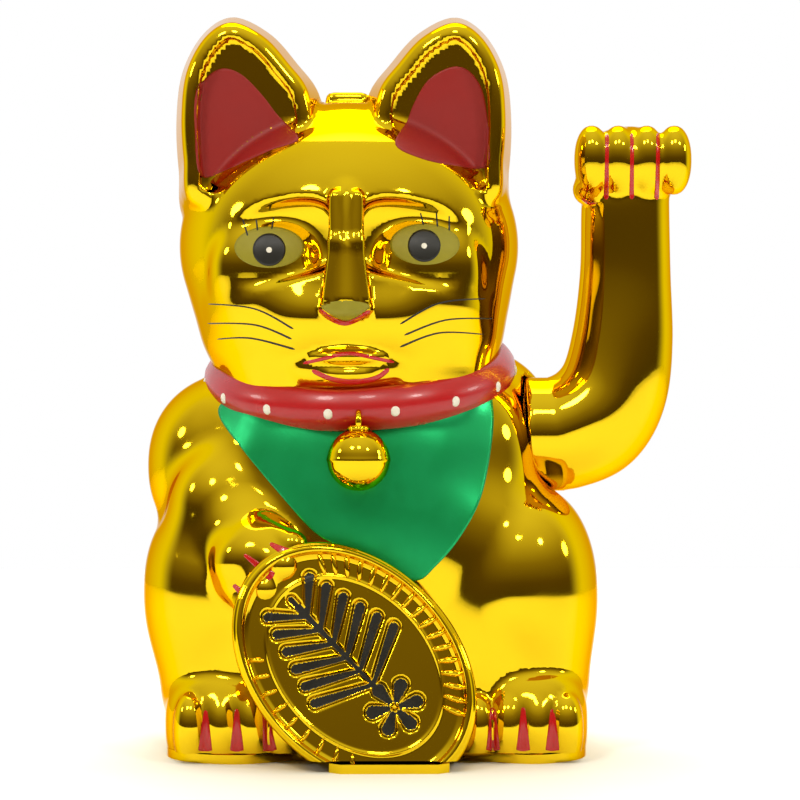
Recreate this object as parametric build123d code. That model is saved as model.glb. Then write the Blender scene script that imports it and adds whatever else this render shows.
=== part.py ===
"""Waving beckoning cat figurine: a gold-plated hollow plastic cat, its swinging arm and the drive inside it.

Millimetres. +Z is up, the cat faces -Y, and its raised arm is on the +X side. The origin is on the resting
face, below the middle of the neck. The two body mouldings meet in the plane y = 0, which also holds the
axis that the arm swings about.
"""

import math
import os
from dataclasses import dataclass

from build123d import *

# ---------------------------------------------------------------- driving dimensions
WALL = 2.0                 # wall of the body mouldings
BASE_T = 2.4               # thickness of the base plate
BASE_GAP = 0.5             # shadow gap between base plate and body
FIT = 0.3                  # clearance between mouldings that locate in each other
RUN = 0.05                 # radial clearance of a turning fit
SHELL_Z = BASE_T + BASE_GAP

HEAD_X = -3.0              # the head sits a little to the cat's right of the neck
EAR_X = -4.4               # middle between the ears
CROWN_TOP_Z = 176.3
EAR_FRONT, EAR_BACK = 26.0, 14.0     # how far an ear reaches from the seam
EAR_BOWL = 4.5                       # depth of the hollow in an ear's face

AXLE_Z = 85.5              # height of the arm's axis, on the seam plane
AXLE_R = 2.0
LEVER_X = 25.0             # plane in which the pendulum swings
LEVER_T = 3.0
LEVER_W = 8.0
PENDULUM_L = 61.0          # axis to the middle of the magnet
MAGNET_R, MAGNET_H = 5.0, 5.0
WEIGHT_X, WEIGHT_Y, WEIGHT_Z = 12.0, 18.0, 16.0
WEIGHT_L = 44.0            # axis to the middle of the counterweight
WEIGHT_SHIFT = 1.5         # backwards, so that the arm hangs upright although its paw reaches forward

POCKET_X = 44.5            # flat floor of the pocket that the arm's root turns in
ARM_R = 15.6               # the arm's root
ARM_GAP = 0.8              # round the arm's root in its pocket
ARM_X = 46.0               # inner end of the arm
ARM_WALL = 1.6
HUB_R, HUB_END_X = 6.0, 60.0
FOREARM_X = 73.0
FOREARM_R, WRIST_R = 13.6, 12.0
WRIST_Z, PAW_Z = 148.0, 159.0
PAW_RX, PAW_RY, PAW_RZ = 15.0, 12.5, 11.0

BRACKET_Y, BRACKET_T = 16.0, 2.5     # face and thickness of the bracket's back plate
BRACKET_X0, BRACKET_X1 = 2.0, 37.0
CHEEKS_X = [11.0, 34.0]
BUSH_R = 3.4
SHAFT_X0 = 8.0

CELL_R, CELL_L, CELL_NUB = 7.25, 49.5, 1.0   # one AA cell
CELL_X0, CELL_Y = -36.0, 12.0
CELL_Z = BASE_T + 7.2
END_ROOM = 3.3             # for the spring behind the cell
CONTACT_T = 0.5
WELL_WALL, WELL_TOP_Z = 1.2, 15.5
DOOR_T = 1.7
DOOR_Z = 0.2               # the door and the screws stay off the table

BOARD = (17.6, 37.6, -22.0, 10.0)
BOARD_Z, BOARD_T = 6.0, 1.2
BOARD_POSTS = [(20.6, -19.0), (34.6, 7.0)]
COIL_R, COIL_H = 6.8, 9.5

SWITCH_X, SWITCH_Y = -14.5, -14.0
SWITCH_TRAVEL = 3.0

SCREW_R = 1.35
HEAD_R, HEAD_H = 2.6, 1.3
BOSS_R = 3.9
BOSS_TOP_Z = 20.0

ARC_STEPS = 28             # points along each half section of the body
RING_LEVELS = 36           # horizontal sections of each body ring


# ---------------------------------------------------------------- shape of the body
@dataclass(frozen=True)
class Lump:
    """One rounded mass of the body: an ellipse in plan whose size follows a superellipse in height."""

    x: float
    y: float
    z: float
    rx: float
    ry: float
    rz: float
    power: float = 2.0

    def reach(self, angle: float, z: float) -> float:
        """How far this mass reaches from the body's axis at a plan angle and a height, or 0."""
        rise = abs((z - self.z) / self.rz) ** self.power
        if rise >= 1:
            return 0.0
        size = (1 - rise) ** (1 / self.power)
        a, b = self.rx * size, self.ry * size
        c, s = math.cos(angle), math.sin(angle)
        ox, oy = AXIS_X - self.x, -self.y
        quad = (c / a) ** 2 + (s / b) ** 2
        lin = ox * c / a**2 + oy * s / b**2
        const = (ox / a) ** 2 + (oy / b) ** 2 - 1
        disc = lin * lin - quad * const
        if disc <= 0:
            return 0.0
        return max(0.0, (-lin + math.sqrt(disc)) / quad)


AXIS_X = -1.0              # the vertical line from which the sections are measured
BLEND = 22.0               # higher makes the valleys between masses sharper

BODY = [
    Lump(2, -3, 34, 49, 37, 46, 4.0),                  # belly
    Lump(-1, -4, 66, 43, 36, 44, 2.6),                 # chest
    Lump(0, -3, 99, 38, 38, 16, 3.0),                  # neck
    Lump(HEAD_X, -2, 137, 46.4, 42, 39.6, 2.0),        # skull
    Lump(HEAD_X + 1, -2, 117, 41.5, 39, 22, 2.6),      # jaws
    Lump(HEAD_X - 1, -33, 119, 20, 12, 14, 2.2),       # muzzle
    Lump(-36, -10, 44, 22.6, 29, 27, 2.3),             # left thigh
    Lump(42, -10, 45, 21.8, 29, 28, 2.3),              # right thigh
    Lump(-30, 0, 30, 25, 37, 34, 3.0),                 # left haunch
    Lump(38, 0, 30, 25, 37, 34, 3.0),                  # right haunch
    Lump(-33.5, -22, 9, 18.7, 21.5, 17, 2.6),          # left foot
    Lump(45, -22, 9, 16.0, 21.5, 17, 2.6),             # right foot
    Lump(-31, 0, 77, 27.2, 25, 26, 2.2),               # left shoulder and elbow
    Lump(-39, -24, 64, 13, 13, 14, 2.0),               # left forearm
    Lump(-31, -28, 60, 12, 12, 12, 2.0),               # left wrist
    Lump(25, 13, 84, 29, 24, 26, 2.4),                 # right shoulder, behind the raised arm
]


def reach(angle: float, z: float) -> float:
    """Distance from the body's axis to its skin."""
    scale = 50.0
    total = sum((lump.reach(angle, z) / scale) ** BLEND for lump in BODY)
    return scale * total ** (1 / BLEND)


def skin(angle: float, z: float, inset: float) -> float:
    """Distance to a surface that lies about inset under the skin, also where the skin leans inwards."""
    if inset == 0:
        return reach(angle, z)
    return min(reach(angle, z) - inset, reach(angle, min(z + inset, CROWN_TOP_Z)))


def body_arc(z: float, inset: float, front: bool, level: float | None = None) -> list[Vector]:
    """Points of half a horizontal section, from the -X to the +X end in front, the other way behind."""
    start = math.pi if front else 0.0
    height = z if level is None else level
    points = []
    for i in range(ARC_STEPS + 1):
        angle = start + math.pi * i / ARC_STEPS
        r = skin(angle, z, inset)
        y = 0.0 if i in (0, ARC_STEPS) else r * math.sin(angle)
        points.append(Vector(AXIS_X + r * math.cos(angle), y, height))
    return points


def smooth_edge(points: list[Vector]) -> Edge:
    """A curve through points that shares its knots with every other one of as many points."""
    last = len(points) - 1
    return Edge.make_spline(points, parameters=[i / last for i in range(last + 1)])


def half_ring(outer: list[Vector], inner: list[Vector]) -> Wire:
    """The closed outline of half a ring, between an outer and an inner arc that end on the seam."""
    return Wire([
        smooth_edge(outer),
        Edge.make_line(outer[-1], inner[-1]),
        smooth_edge(inner),
        Edge.make_line(inner[0], outer[0]),
    ])


def half_disc(outer: list[Vector]) -> Wire:
    """The closed outline of half a solid section."""
    return Wire([smooth_edge(outer), Edge.make_line(outer[-1], outer[0])])


def levels(low: float, high: float, count: int) -> list[float]:
    """Heights that draw closer together towards both ends, where the shape turns in."""
    steps = [i / (count - 1) for i in range(count)]
    return [low + (high - low) * (t - 0.5 * math.sin(2 * math.pi * t) / (2 * math.pi)) for t in steps]


def body_ring(front: bool) -> Solid:
    """The body's hollow wall from the base up to the crown."""
    heights = levels(SHELL_Z, CROWN_TOP_Z - WALL, RING_LEVELS)
    return Solid.make_loft([half_ring(body_arc(z, 0, front), body_arc(z, WALL, front)) for z in heights])


def crown(front: bool) -> Solid:
    """The closed top of the head."""
    low = CROWN_TOP_Z - WALL
    heights = [low, low + 0.4 * WALL, low + 0.75 * WALL, CROWN_TOP_Z]
    return Solid.make_loft([half_disc(body_arc(z, 0, front)) for z in heights])


def core(front: bool) -> Solid:
    """A solid that ends halfway through the wall; it trims what stands on the inside of the wall."""
    heights = levels(BASE_T, CROWN_TOP_Z - 2 * WALL, RING_LEVELS)
    return Solid.make_loft([half_disc(body_arc(max(z, SHELL_Z), WALL / 2, front, z)) for z in heights])


def footprint(inset: float, z0: float, z1: float) -> Part:
    """An upright slab with the outline of the body's foot."""
    front = body_arc(SHELL_Z, inset, True)
    back = body_arc(SHELL_Z, inset, False)
    outline = Wire([smooth_edge(front), smooth_edge(back)])
    return extrude(Face(outline).moved(Location((0, 0, z0 - SHELL_Z))), amount=z1 - z0, dir=(0, 0, 1))


# ---------------------------------------------------------------- small helpers
def rod_x(radius: float, x0: float, x1: float, y: float, z: float) -> Part:
    """A round bar along X."""
    return Cylinder(radius, x1 - x0, rotation=(0, 90, 0)).moved(Location(((x0 + x1) / 2, y, z)))


def rod_y(radius: float, y0: float, y1: float, x: float, z: float) -> Part:
    """A round bar along Y."""
    return Cylinder(radius, y1 - y0, rotation=(90, 0, 0)).moved(Location((x, (y0 + y1) / 2, z)))


def rod_z(radius: float, z0: float, z1: float, x: float, y: float) -> Part:
    """A round bar along Z."""
    return Cylinder(radius, z1 - z0).moved(Location((x, y, (z0 + z1) / 2)))


def block(x0: float, x1: float, y0: float, y1: float, z0: float, z1: float) -> Part:
    """A box between two corners."""
    return Box(x1 - x0, y1 - y0, z1 - z0).moved(Location(((x0 + x1) / 2, (y0 + y1) / 2, (z0 + z1) / 2)))


def egg(x: float, y: float, z: float, rx: float, ry: float, rz: float) -> Part:
    """An ellipsoid."""
    return scale(Sphere(1.0), by=(rx, ry, rz)).moved(Location((x, y, z)))


def half_space(front: bool) -> Part:
    """Everything on one side of the seam."""
    return block(-150, 150, -150, 0, -50, 250) if front else block(-150, 150, 0, 150, -50, 250)


def lead(points: list[tuple[float, float, float]], radius: float = 0.6) -> Part:
    """An insulated wire through its points."""
    path = Spline(*points, tangents=[(0, 0, 1), (0, 0, -1)])
    return sweep(Plane(origin=path @ 0, z_dir=path % 0) * Circle(radius), path=path)


# ---------------------------------------------------------------- ears
EAR_SHAPE = [(5, 162), (6.5, 178), (13, 187.5), (20.5, 195.6), (30.4, 200), (38.5, 195.5), (44.3, 185), (46, 172),
             (45.4, 158), (43, 144)]
EAR_MIDDLE = (27.0, 174.0)
EAR_RIM = 0.84             # size of the ear's face against its outline at the seam
EAR_HEEL = 0.62            # size of its back


def ear_wire(side: int, size: float, y: float) -> Wire:
    """The ear's outline shrunk towards its middle, in a plane across Y. side is -1 or 1."""
    mx, mz = EAR_MIDDLE
    points = [Vector(EAR_X + side * (mx + (px - mx) * size), y, mz + (pz - mz) * size) for px, pz in EAR_SHAPE]
    return Wire([smooth_edge(points), Edge.make_line(points[-1], points[0])])


def ear_loft(side: int, near: tuple[float, float], far: tuple[float, float]) -> Solid:
    """A straight-sided solid between two sizes of the ear's outline, each given as size and y."""
    return Solid.make_loft([ear_wire(side, *near), ear_wire(side, *far)], ruled=True)


def add_ears(shell: Part, front: bool) -> Part:
    """Put both half ears on a shell, open their hollows to the head, and sink the bowls in front."""
    for side in (-1, 1):
        if front:
            shell = shell + ear_loft(side, (1.0, 0), (EAR_RIM, -EAR_FRONT))
            floor = -EAR_FRONT + EAR_BOWL
            shell = shell - ear_loft(side, (0.9, 1), (EAR_RIM - 0.1, floor + WALL))
            shell = shell - ear_loft(side, (EAR_RIM - 0.1, -EAR_FRONT - 1), (EAR_RIM - 0.14, floor))
        else:
            shell = shell + ear_loft(side, (1.0, 0), (EAR_HEEL, EAR_BACK))
            shell = shell - ear_loft(side, (0.9, -1), (EAR_HEEL - 0.04, EAR_BACK - WALL))
    return shell


# ---------------------------------------------------------------- coin, collar, bell, tail
COIN_X, COIN_Z = -1.5, 18.5         # foot of the tilted axis through the coin that the cat holds up
COIN_HALF_W, COIN_HALF_L = 26.0, 35.7
COIN_LEAN = -44.0                    # the coin's top leans to the cat's right
COIN_TILT = -9.0                     # and back against the chest
COIN_FACE_Y, COIN_BACK_Y = -57.5, -22.0
TAB_X0, TAB_X1, TAB_Y = -8.0, 23.0, -63.0
BELL_X, BELL_Y, BELL_Z, BELL_R = -0.4, -44.5, 80.0, 8.2
COLLAR_Y, COLLAR_Z = -3.0, 102.5
COLLAR_TILT, COLLAR_ROLL = 14.5, -2.4
COLLAR_RX, COLLAR_RY = 38.3, 37.6
COLLAR_T, COLLAR_H = 4.2, 5.6        # half thickness and half height of the band


def coin_block(inset: float) -> Part:
    """A block in the coin's outline, leaning sideways and back, that reaches into the body."""
    oval = Plane.XZ * Ellipse(COIN_HALF_W - inset, COIN_HALF_L - inset)
    solid = extrude(oval, amount=60, dir=(0, 1, 0)).moved(Location((0, COIN_FACE_Y + inset, 0)))
    solid = solid.rotate(Axis.Y, COIN_LEAN).rotate(Axis.X, COIN_TILT)
    return solid.moved(Location((COIN_X, 0, COIN_Z))) & block(-70, 70, -90, COIN_BACK_Y, SHELL_Z, 120)


def collar() -> Part:
    """The raised neck band, all the way round."""
    path = Ellipse(COLLAR_RX, COLLAR_RY).edges()[0]
    profile = Plane(origin=path @ 0, x_dir=(1, 0, 0), z_dir=path % 0) * Ellipse(COLLAR_T, COLLAR_H)
    band = sweep(profile, path=path)
    band = band.rotate(Axis.X, COLLAR_TILT).rotate(Axis.Y, COLLAR_ROLL)
    return band.moved(Location((0, COLLAR_Y, COLLAR_Z)))


def tail() -> Part:
    """The tail that lies curled against the back, in relief."""
    route = [(34, 30, 12), (24, 33, 20), (8, 35.5, 24), (-6, 34.5, 34), (-8, 33, 48)]
    path = Spline(*route)
    body = sweep(Plane(origin=path @ 0, z_dir=path % 0) * Circle(6.0), path=path)
    return body + Sphere(6.0).moved(Location(route[0])) + Sphere(6.0).moved(Location(route[-1]))


SADDLE_X0, SADDLE_X1, SADDLE_TOP_Z, SADDLE_Y = -9.5, 2.6, 179.6, 9.0


def saddle() -> Part:
    """The low raised band between the ears, on the back moulding."""
    band = block(SADDLE_X0, SADDLE_X1, 0, SADDLE_Y, CROWN_TOP_Z - 6, SADDLE_TOP_Z)
    return fillet(band.edges().filter_by(Axis.Y).sort_by(Axis.Z)[-2:], 2.0)


# ---------------------------------------------------------------- body mouldings
BOSSES_FRONT = [(-33.0, -35.5), (45.0, -35.5)]
BOSSES_BACK = [(-12.0, 25.3), (31.0, 23.5)]
PEGS = [(-1, 120.0), (1, 120.0), (-1, 52.0), (1, 44.0)]   # side and height
PEG_R, PEG_L, PEG_POST_R = 1.6, 5.0, 3.4
BRACKET_SCREWS = [(6.0, 92.5), (6.0, 78.5), (29.5, 96.0)]
SHAFT_HOLE_R = 3.6


def peg_x(side: int, z: float) -> float:
    """Where a locating peg stands, just inside the wall at the seam."""
    angle = math.pi if side < 0 else 0.0
    return AXIS_X + side * (skin(angle, z, WALL) - 0.6 * PEG_POST_R)


def arm_cup(front: bool) -> Part:
    """The wall round and behind the pocket for the arm's root."""
    outer = rod_x(ARM_R + ARM_GAP + WALL, POCKET_X - WALL, POCKET_X + 25, 0, AXLE_Z)
    return outer & half_space(front)


def shell_fittings(front: bool) -> Part:
    """Everything that stands on the inside of a shell, before it is trimmed to the wall."""
    side_y = -1 if front else 1
    fittings = arm_cup(front)
    for x, y in BOSSES_FRONT if front else BOSSES_BACK:
        fittings += rod_z(BOSS_R, BASE_T, BOSS_TOP_Z, x, y)
        wall_y = y + side_y * 2.5 * BOSS_R
        fittings += block(x - WALL / 2, x + WALL / 2, min(y, wall_y), max(y, wall_y), SHELL_Z + 1, BOSS_TOP_Z)
    for side, z in PEGS:
        low, high = (-3 * PEG_L, 0.0) if front else (0.0, 2 * PEG_L)
        fittings += rod_y(PEG_POST_R, low, high, peg_x(side, z), z)
    if not front:
        for x, z in BRACKET_SCREWS:
            fittings += rod_y(BOSS_R, BRACKET_Y + BRACKET_T, 60, x, z)
    return fittings


def shell(front: bool) -> Part:
    """One of the two body mouldings."""
    body = Part() + body_ring(front) + crown(front)
    body = body + (shell_fittings(front) & core(front))
    if front:
        body = body + (coin_block(0) - core(True)) - coin_block(WALL)
        bell = Sphere(BELL_R).moved(Location((BELL_X, BELL_Y, BELL_Z)))
        body = body + (bell - egg(BELL_X, BELL_Y, BELL_Z, BELL_R - WALL, BELL_R - WALL, BELL_R - WALL))
    body = body + (collar() & half_space(front))
    body = add_ears(body, front)
    if not front:
        outside = tail() & half_space(False) & block(-80, 80, 0, 80, SHELL_Z, 100)
        body = body + (outside - core(False)) + (saddle() - core(False))
    body = body - rod_x(ARM_R + ARM_GAP, POCKET_X, POCKET_X + 40, 0, AXLE_Z)
    body = body - rod_x(SHAFT_HOLE_R, POCKET_X - 2 * WALL, POCKET_X + 1, 0, AXLE_Z)
    for x, y in BOSSES_FRONT if front else BOSSES_BACK:
        body = body - rod_z(SCREW_R, BASE_T - 1, BOSS_TOP_Z - WALL, x, y)
    for side, z in PEGS:
        if front:
            body = body + rod_y(PEG_R, -0.5, PEG_L, peg_x(side, z), z)
        else:
            body = body - rod_y(PEG_R + RUN, -0.5, PEG_L + 0.5, peg_x(side, z), z)
    if not front:
        for x, z in BRACKET_SCREWS:
            body = body - rod_y(SCREW_R, BRACKET_Y, BRACKET_Y + BRACKET_T + 8, x, z)
    return body


# ---------------------------------------------------------------- base, battery, switch
WELL_X0 = CELL_X0 - END_ROOM - CONTACT_T
WELL_X1 = CELL_X0 + CELL_L + CELL_NUB + CONTACT_T
WELL_HALF_Y = CELL_R + 0.65
HINGE_X = WELL_X0 + FIT              # the door turns about its lower edge at this end
HINGE_Z = DOOR_Z + 0.1
DOOR_TABS_Y = [CELL_Y - 5.0, CELL_Y + 5.0]
DOOR_TAB_W, DOOR_TAB_T, DOOR_TAB_L = 3.0, 1.2, 2.4
RIM_T, RIM_H = 1.6, 4.0
RIM_PLAY = 0.8             # the rim only centres the shells, so it stays clear of the valleys in their walls


def base_plate() -> Part:
    """The gold foot plate, with the rim that locates the shells and the well for the cell."""
    plate = footprint(0, 0, BASE_T)
    tab = block(TAB_X0, TAB_X1, TAB_Y, -25, 0, BASE_T)
    corners = tab.edges().filter_by(Axis.Z).sort_by(Axis.Y)[:2]
    plate = plate + chamfer(corners, 3.0)
    inset = WALL + RIM_PLAY
    rim = footprint(inset, BASE_T, BASE_T + RIM_H) - footprint(inset + RIM_T, BASE_T - 1, BASE_T + RIM_H + 1)
    for x, y in BOSSES_FRONT + BOSSES_BACK:
        rim = rim - rod_z(BOSS_R + 2 * FIT, 0, 30, x, y)
        rim = rim - block(x - 1.5 * WALL, x + 1.5 * WALL, min(y, 0) - 20, max(y, 0) + 20, SHELL_Z + 0.5, 30)
    rim = rim - block(COIN_X - COIN_HALF_W, COIN_X + COIN_HALF_L, 2 * TAB_Y, COIN_BACK_Y - 3, BASE_T, 30)
    y0, y1 = CELL_Y - WELL_HALF_Y, CELL_Y + WELL_HALF_Y
    well = block(WELL_X0 - WELL_WALL, WELL_X1 + WELL_WALL, y0 - WELL_WALL, y1 + WELL_WALL, 1, WELL_TOP_Z)
    plate = plate + rim + well
    plate = plate - block(WELL_X0, WELL_X1, y0, y1, -1, WELL_TOP_Z + 1)
    for y in DOOR_TABS_Y:
        half = DOOR_TAB_W / 2 + FIT
        notch_x = WELL_X0 - DOOR_TAB_L - 2 * FIT
        plate = plate - block(notch_x, WELL_X0 + 1, y - half, y + half, BASE_T, BASE_T + 3.6)
    for x, y in BOSSES_FRONT + BOSSES_BACK:
        plate = plate - rod_z(SCREW_R + 0.2, -1, BASE_T + 1, x, y)
        plate = plate - rod_z(HEAD_R + FIT, -1, DOOR_Z + HEAD_H, x, y)
    for x, y in BOARD_POSTS:
        plate = plate + rod_z(BOSS_R - 1.2, BASE_T - 0.5, BOARD_Z, x, y)
        plate = plate - rod_z(SCREW_R * 0.75, BASE_T, BOARD_Z + 1, x, y)
    slot_x, slot_y = KNOB_W / 2 + SWITCH_TRAVEL / 2 + FIT, KNOB_D / 2 + FIT
    slot = block(SWITCH_X - slot_x, SWITCH_X + slot_x, SWITCH_Y - slot_y, SWITCH_Y + slot_y, -1, BASE_T + 1)
    return plate - slot


def battery_door() -> Part:
    """The flush door under the cell, hooked at one end and pushed in at the other."""
    y0, y1 = CELL_Y - WELL_HALF_Y + FIT, CELL_Y + WELL_HALF_Y - FIT
    x1 = WELL_X1 - FIT
    door = block(HINGE_X, x1, y0, y1, DOOR_Z, DOOR_Z + DOOR_T)
    for i in range(5):
        groove_x = x1 - 3.0 - 2.0 * i
        door = door - block(groove_x - 0.5, groove_x + 0.5, CELL_Y - 4, CELL_Y + 4, DOOR_Z - 1, DOOR_Z + 0.5)
    top = BASE_T + 0.25 + DOOR_TAB_T
    for y in DOOR_TABS_Y:
        a, b = y - DOOR_TAB_W / 2, y + DOOR_TAB_W / 2
        door = door + block(HINGE_X, HINGE_X + 1.0, a, b, DOOR_Z, top)
        door = door + block(HINGE_X - FIT - DOOR_TAB_L, HINGE_X + 1.0, a, b, BASE_T + 0.25, top)
    return door


def cell() -> Part:
    """The AA cell, its positive end towards +X."""
    end = CELL_X0 + CELL_L
    body = fillet(rod_x(CELL_R, CELL_X0, end, CELL_Y, CELL_Z).edges(), 0.5)
    return body + rod_x(2.75, end - 0.5, end + CELL_NUB, CELL_Y, CELL_Z)


def contact_plate(x: float) -> Part:
    """A flat contact with a solder tongue on top."""
    plate = block(x, x + CONTACT_T, CELL_Y - 5.5, CELL_Y + 5.5, 5.2, WELL_TOP_Z - 0.5)
    return plate + block(x, x + CONTACT_T, CELL_Y - 4.5, CELL_Y - 1.5, WELL_TOP_Z - 1, WELL_TOP_Z + 1.4)


def contact_spring() -> Part:
    """The tapered spring that pushes on the cell's flat end."""
    wire_r = 0.3
    x0 = WELL_X0 + CONTACT_T + wire_r
    length = CELL_X0 - wire_r - x0
    path = Helix(pitch=length / 2.5, height=length, radius=4.6, cone_angle=-18)
    coil = sweep(Plane(origin=path @ 0, z_dir=path % 0) * Circle(wire_r), path=path, is_frenet=True)
    return coil.rotate(Axis.Y, 90).moved(Location((x0, CELL_Y, CELL_Z)))


KNOB_W, KNOB_D = 2.6, 2.0
SWITCH_H = 4.6


def switch_body() -> Part:
    """The slide switch's case on the base plate, with two solder pins on top."""
    half_x, half_y = 6.2, 3.0
    case = block(SWITCH_X - half_x, SWITCH_X + half_x, SWITCH_Y - half_y, SWITCH_Y + half_y, BASE_T, BASE_T + SWITCH_H)
    room_x, room_y = KNOB_W / 2 + SWITCH_TRAVEL / 2 + FIT + 0.6, KNOB_D / 2 + FIT
    room = block(SWITCH_X - room_x, SWITCH_X + room_x, SWITCH_Y - room_y, SWITCH_Y + room_y, 0, BASE_T + 3.0)
    case = case - room
    for x in (SWITCH_X - 3.5, SWITCH_X + 3.5):
        case = case + block(x - 0.6, x + 0.6, SWITCH_Y - 0.4, SWITCH_Y + 0.4, BASE_T + SWITCH_H - 0.5, BASE_T + SWITCH_H + 1.8)
    return case


def switch_knob() -> Part:
    """The sliding finger, in its off position at the -X end."""
    x = SWITCH_X - SWITCH_TRAVEL / 2
    stem = block(x - KNOB_W / 2, x + KNOB_W / 2, SWITCH_Y - KNOB_D / 2, SWITCH_Y + KNOB_D / 2, 0.5, BASE_T + 1.2)
    return stem + block(x - KNOB_W / 2 - 0.5, x + KNOB_W / 2 + 0.5, SWITCH_Y - KNOB_D / 2, SWITCH_Y + KNOB_D / 2,
                        BASE_T + FIT, BASE_T + 2.6)


def screw_up(x: float, y: float, z: float, length: float) -> Part:
    """A pan-head screw that points up, its head's face at z."""
    screw = rod_z(HEAD_R, z, z + HEAD_H, x, y) + rod_z(SCREW_R, z, z + HEAD_H + length, x, y)
    return screw - block(x - 1.6, x + 1.6, y - 0.35, y + 0.35, z - 1, z + 0.6) - block(
        x - 0.35, x + 0.35, y - 1.6, y + 1.6, z - 1, z + 0.6)


def screw_back(x: float, y: float, z: float, length: float, radius: float = SCREW_R) -> Part:
    """A pan-head screw that points to +Y, its head seated on y."""
    screw = rod_y(HEAD_R, y - HEAD_H, y, x, z) + rod_y(radius, y - 0.5, y + length, x, z)
    return screw - block(x - 1.6, x + 1.6, y - HEAD_H - 1, y - HEAD_H + 0.6, z - 0.35, z + 0.35) - block(
        x - 0.35, x + 0.35, y - HEAD_H - 1, y - HEAD_H + 0.6, z - 1.6, z + 1.6)


# ---------------------------------------------------------------- drive electronics
def circuit_board() -> Part:
    """The board that carries the coil."""
    x0, x1, y0, y1 = BOARD
    board = block(x0, x1, y0, y1, BOARD_Z, BOARD_Z + BOARD_T)
    for x, y in BOARD_POSTS:
        board = board - rod_z(SCREW_R * 0.75 + 0.15, 0, 30, x, y)
    return board


def coil_bobbin() -> Part:
    """The spool under the pendulum."""
    z0 = BOARD_Z + BOARD_T
    spool = rod_z(2.4, z0, z0 + COIL_H, LEVER_X, 0)
    for z in (z0, z0 + COIL_H - 0.9):
        spool = spool + rod_z(COIL_R + 0.5, z, z + 0.9, LEVER_X, 0)
    return spool - rod_z(1.4, z0 - 1, z0 + COIL_H + 1, LEVER_X, 0)


def coil_winding() -> Part:
    """The copper winding on the spool."""
    z0 = BOARD_Z + BOARD_T + 0.9
    z1 = BOARD_Z + BOARD_T + COIL_H - 0.9
    return rod_z(COIL_R, z0, z1, LEVER_X, 0) - rod_z(2.4, z0 - 1, z1 + 1, LEVER_X, 0)


def transistor() -> Part:
    """A small three-legged transistor standing on the board."""
    x, y, z0 = 22.5, -12.0, BOARD_Z + BOARD_T
    case = rod_z(2.3, z0 + 2, z0 + 6.5, x, y) - block(x - 3, x + 3, y + 1.2, y + 4, z0, z0 + 9)
    for dx in (-1.27, 0.0, 1.27):
        case = case + block(x + dx - 0.22, x + dx + 0.22, y - 0.22, y + 0.22, z0, z0 + 2.5)
    return case


def capacitor() -> Part:
    """A small can capacitor on the board."""
    z0 = BOARD_Z + BOARD_T
    return fillet(rod_z(2.5, z0, z0 + 7.0, 33.0, -11.0).edges().sort_by(Axis.Z)[-1:], 0.4)


def resistor() -> Part:
    """A resistor lying on the board, on its bent legs."""
    z = BOARD_Z + BOARD_T + 1.4
    body = rod_x(1.1, 26.5, 32.5, -18.0, z)
    for x0, x1, leg in ((24.5, 26.6, 24.8), (32.4, 34.5, 34.2)):
        body = body + rod_x(0.3, x0, x1, -18.0, z) + rod_z(0.3, BOARD_Z + BOARD_T, z, leg, -18.0)
    return body


def board_screws() -> Part:
    """The two small screws that hold the board on its posts."""
    z0 = BOARD_Z + BOARD_T
    screws = Part()
    for x, y in BOARD_POSTS:
        screw = rod_z(1.9, z0, z0 + 1.2, x, y) + rod_z(SCREW_R * 0.75, BASE_T + 1, z0 + 0.5, x, y)
        screws = screws + (screw - block(x - 1.3, x + 1.3, y - 0.3, y + 0.3, z0 + 0.7, z0 + 2))
    return screws


# ---------------------------------------------------------------- pivot and pendulum
def pivot_bracket() -> Part:
    """The bracket on the back moulding whose two cheeks carry the arm's shaft."""
    plate = block(BRACKET_X0, BRACKET_X1, BRACKET_Y, BRACKET_Y + BRACKET_T, AXLE_Z - 11, AXLE_Z + 15)
    for x in CHEEKS_X:
        cheek = block(x, x + BRACKET_T, 0, BRACKET_Y + 1, AXLE_Z - 7, AXLE_Z + 7)
        plate = plate + cheek + rod_x(7.0, x, x + BRACKET_T, 0, AXLE_Z)
        plate = plate - rod_x(BUSH_R, x - 1, x + BRACKET_T + 1, 0, AXLE_Z)
    for x, z in BRACKET_SCREWS:
        plate = plate - rod_y(SCREW_R + 0.2, BRACKET_Y - 1, BRACKET_Y + BRACKET_T + 1, x, z)
    return plate


def shaft_bushes() -> Part:
    """The two flanged bushes in the cheeks, flanges facing each other."""
    bushes = Part()
    for x, flange in zip(CHEEKS_X, (CHEEKS_X[0] + BRACKET_T, CHEEKS_X[1] - 1.0)):
        bush = rod_x(BUSH_R, x, x + BRACKET_T, 0, AXLE_Z) + rod_x(BUSH_R + 1.4, flange, flange + 1.0, 0, AXLE_Z)
        bushes = bushes + (bush - rod_x(AXLE_R + RUN, x - 2, x + BRACKET_T + 2, 0, AXLE_Z))
    return bushes


def pivot_shaft() -> Part:
    """The steel shaft that joins pendulum and arm."""
    shaft = rod_x(AXLE_R, SHAFT_X0, HUB_END_X - 1, 0, AXLE_Z)
    groove_x = CHEEKS_X[0] - 1.0
    return shaft - (rod_x(AXLE_R + 1, groove_x - 0.8, groove_x, 0, AXLE_Z) - rod_x(AXLE_R - 0.5, groove_x - 2, groove_x + 1, 0, AXLE_Z))


def shaft_clip() -> Part:
    """The retaining clip in the shaft's groove."""
    x = CHEEKS_X[0] - 1.0
    ring = rod_x(AXLE_R + 2.0, x - 0.8, x, 0, AXLE_Z) - rod_x(AXLE_R - 0.5, x - 2, x + 1, 0, AXLE_Z)
    return ring - block(x - 2, x + 1, -1.2, 1.2, AXLE_Z - 6, AXLE_Z)


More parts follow.
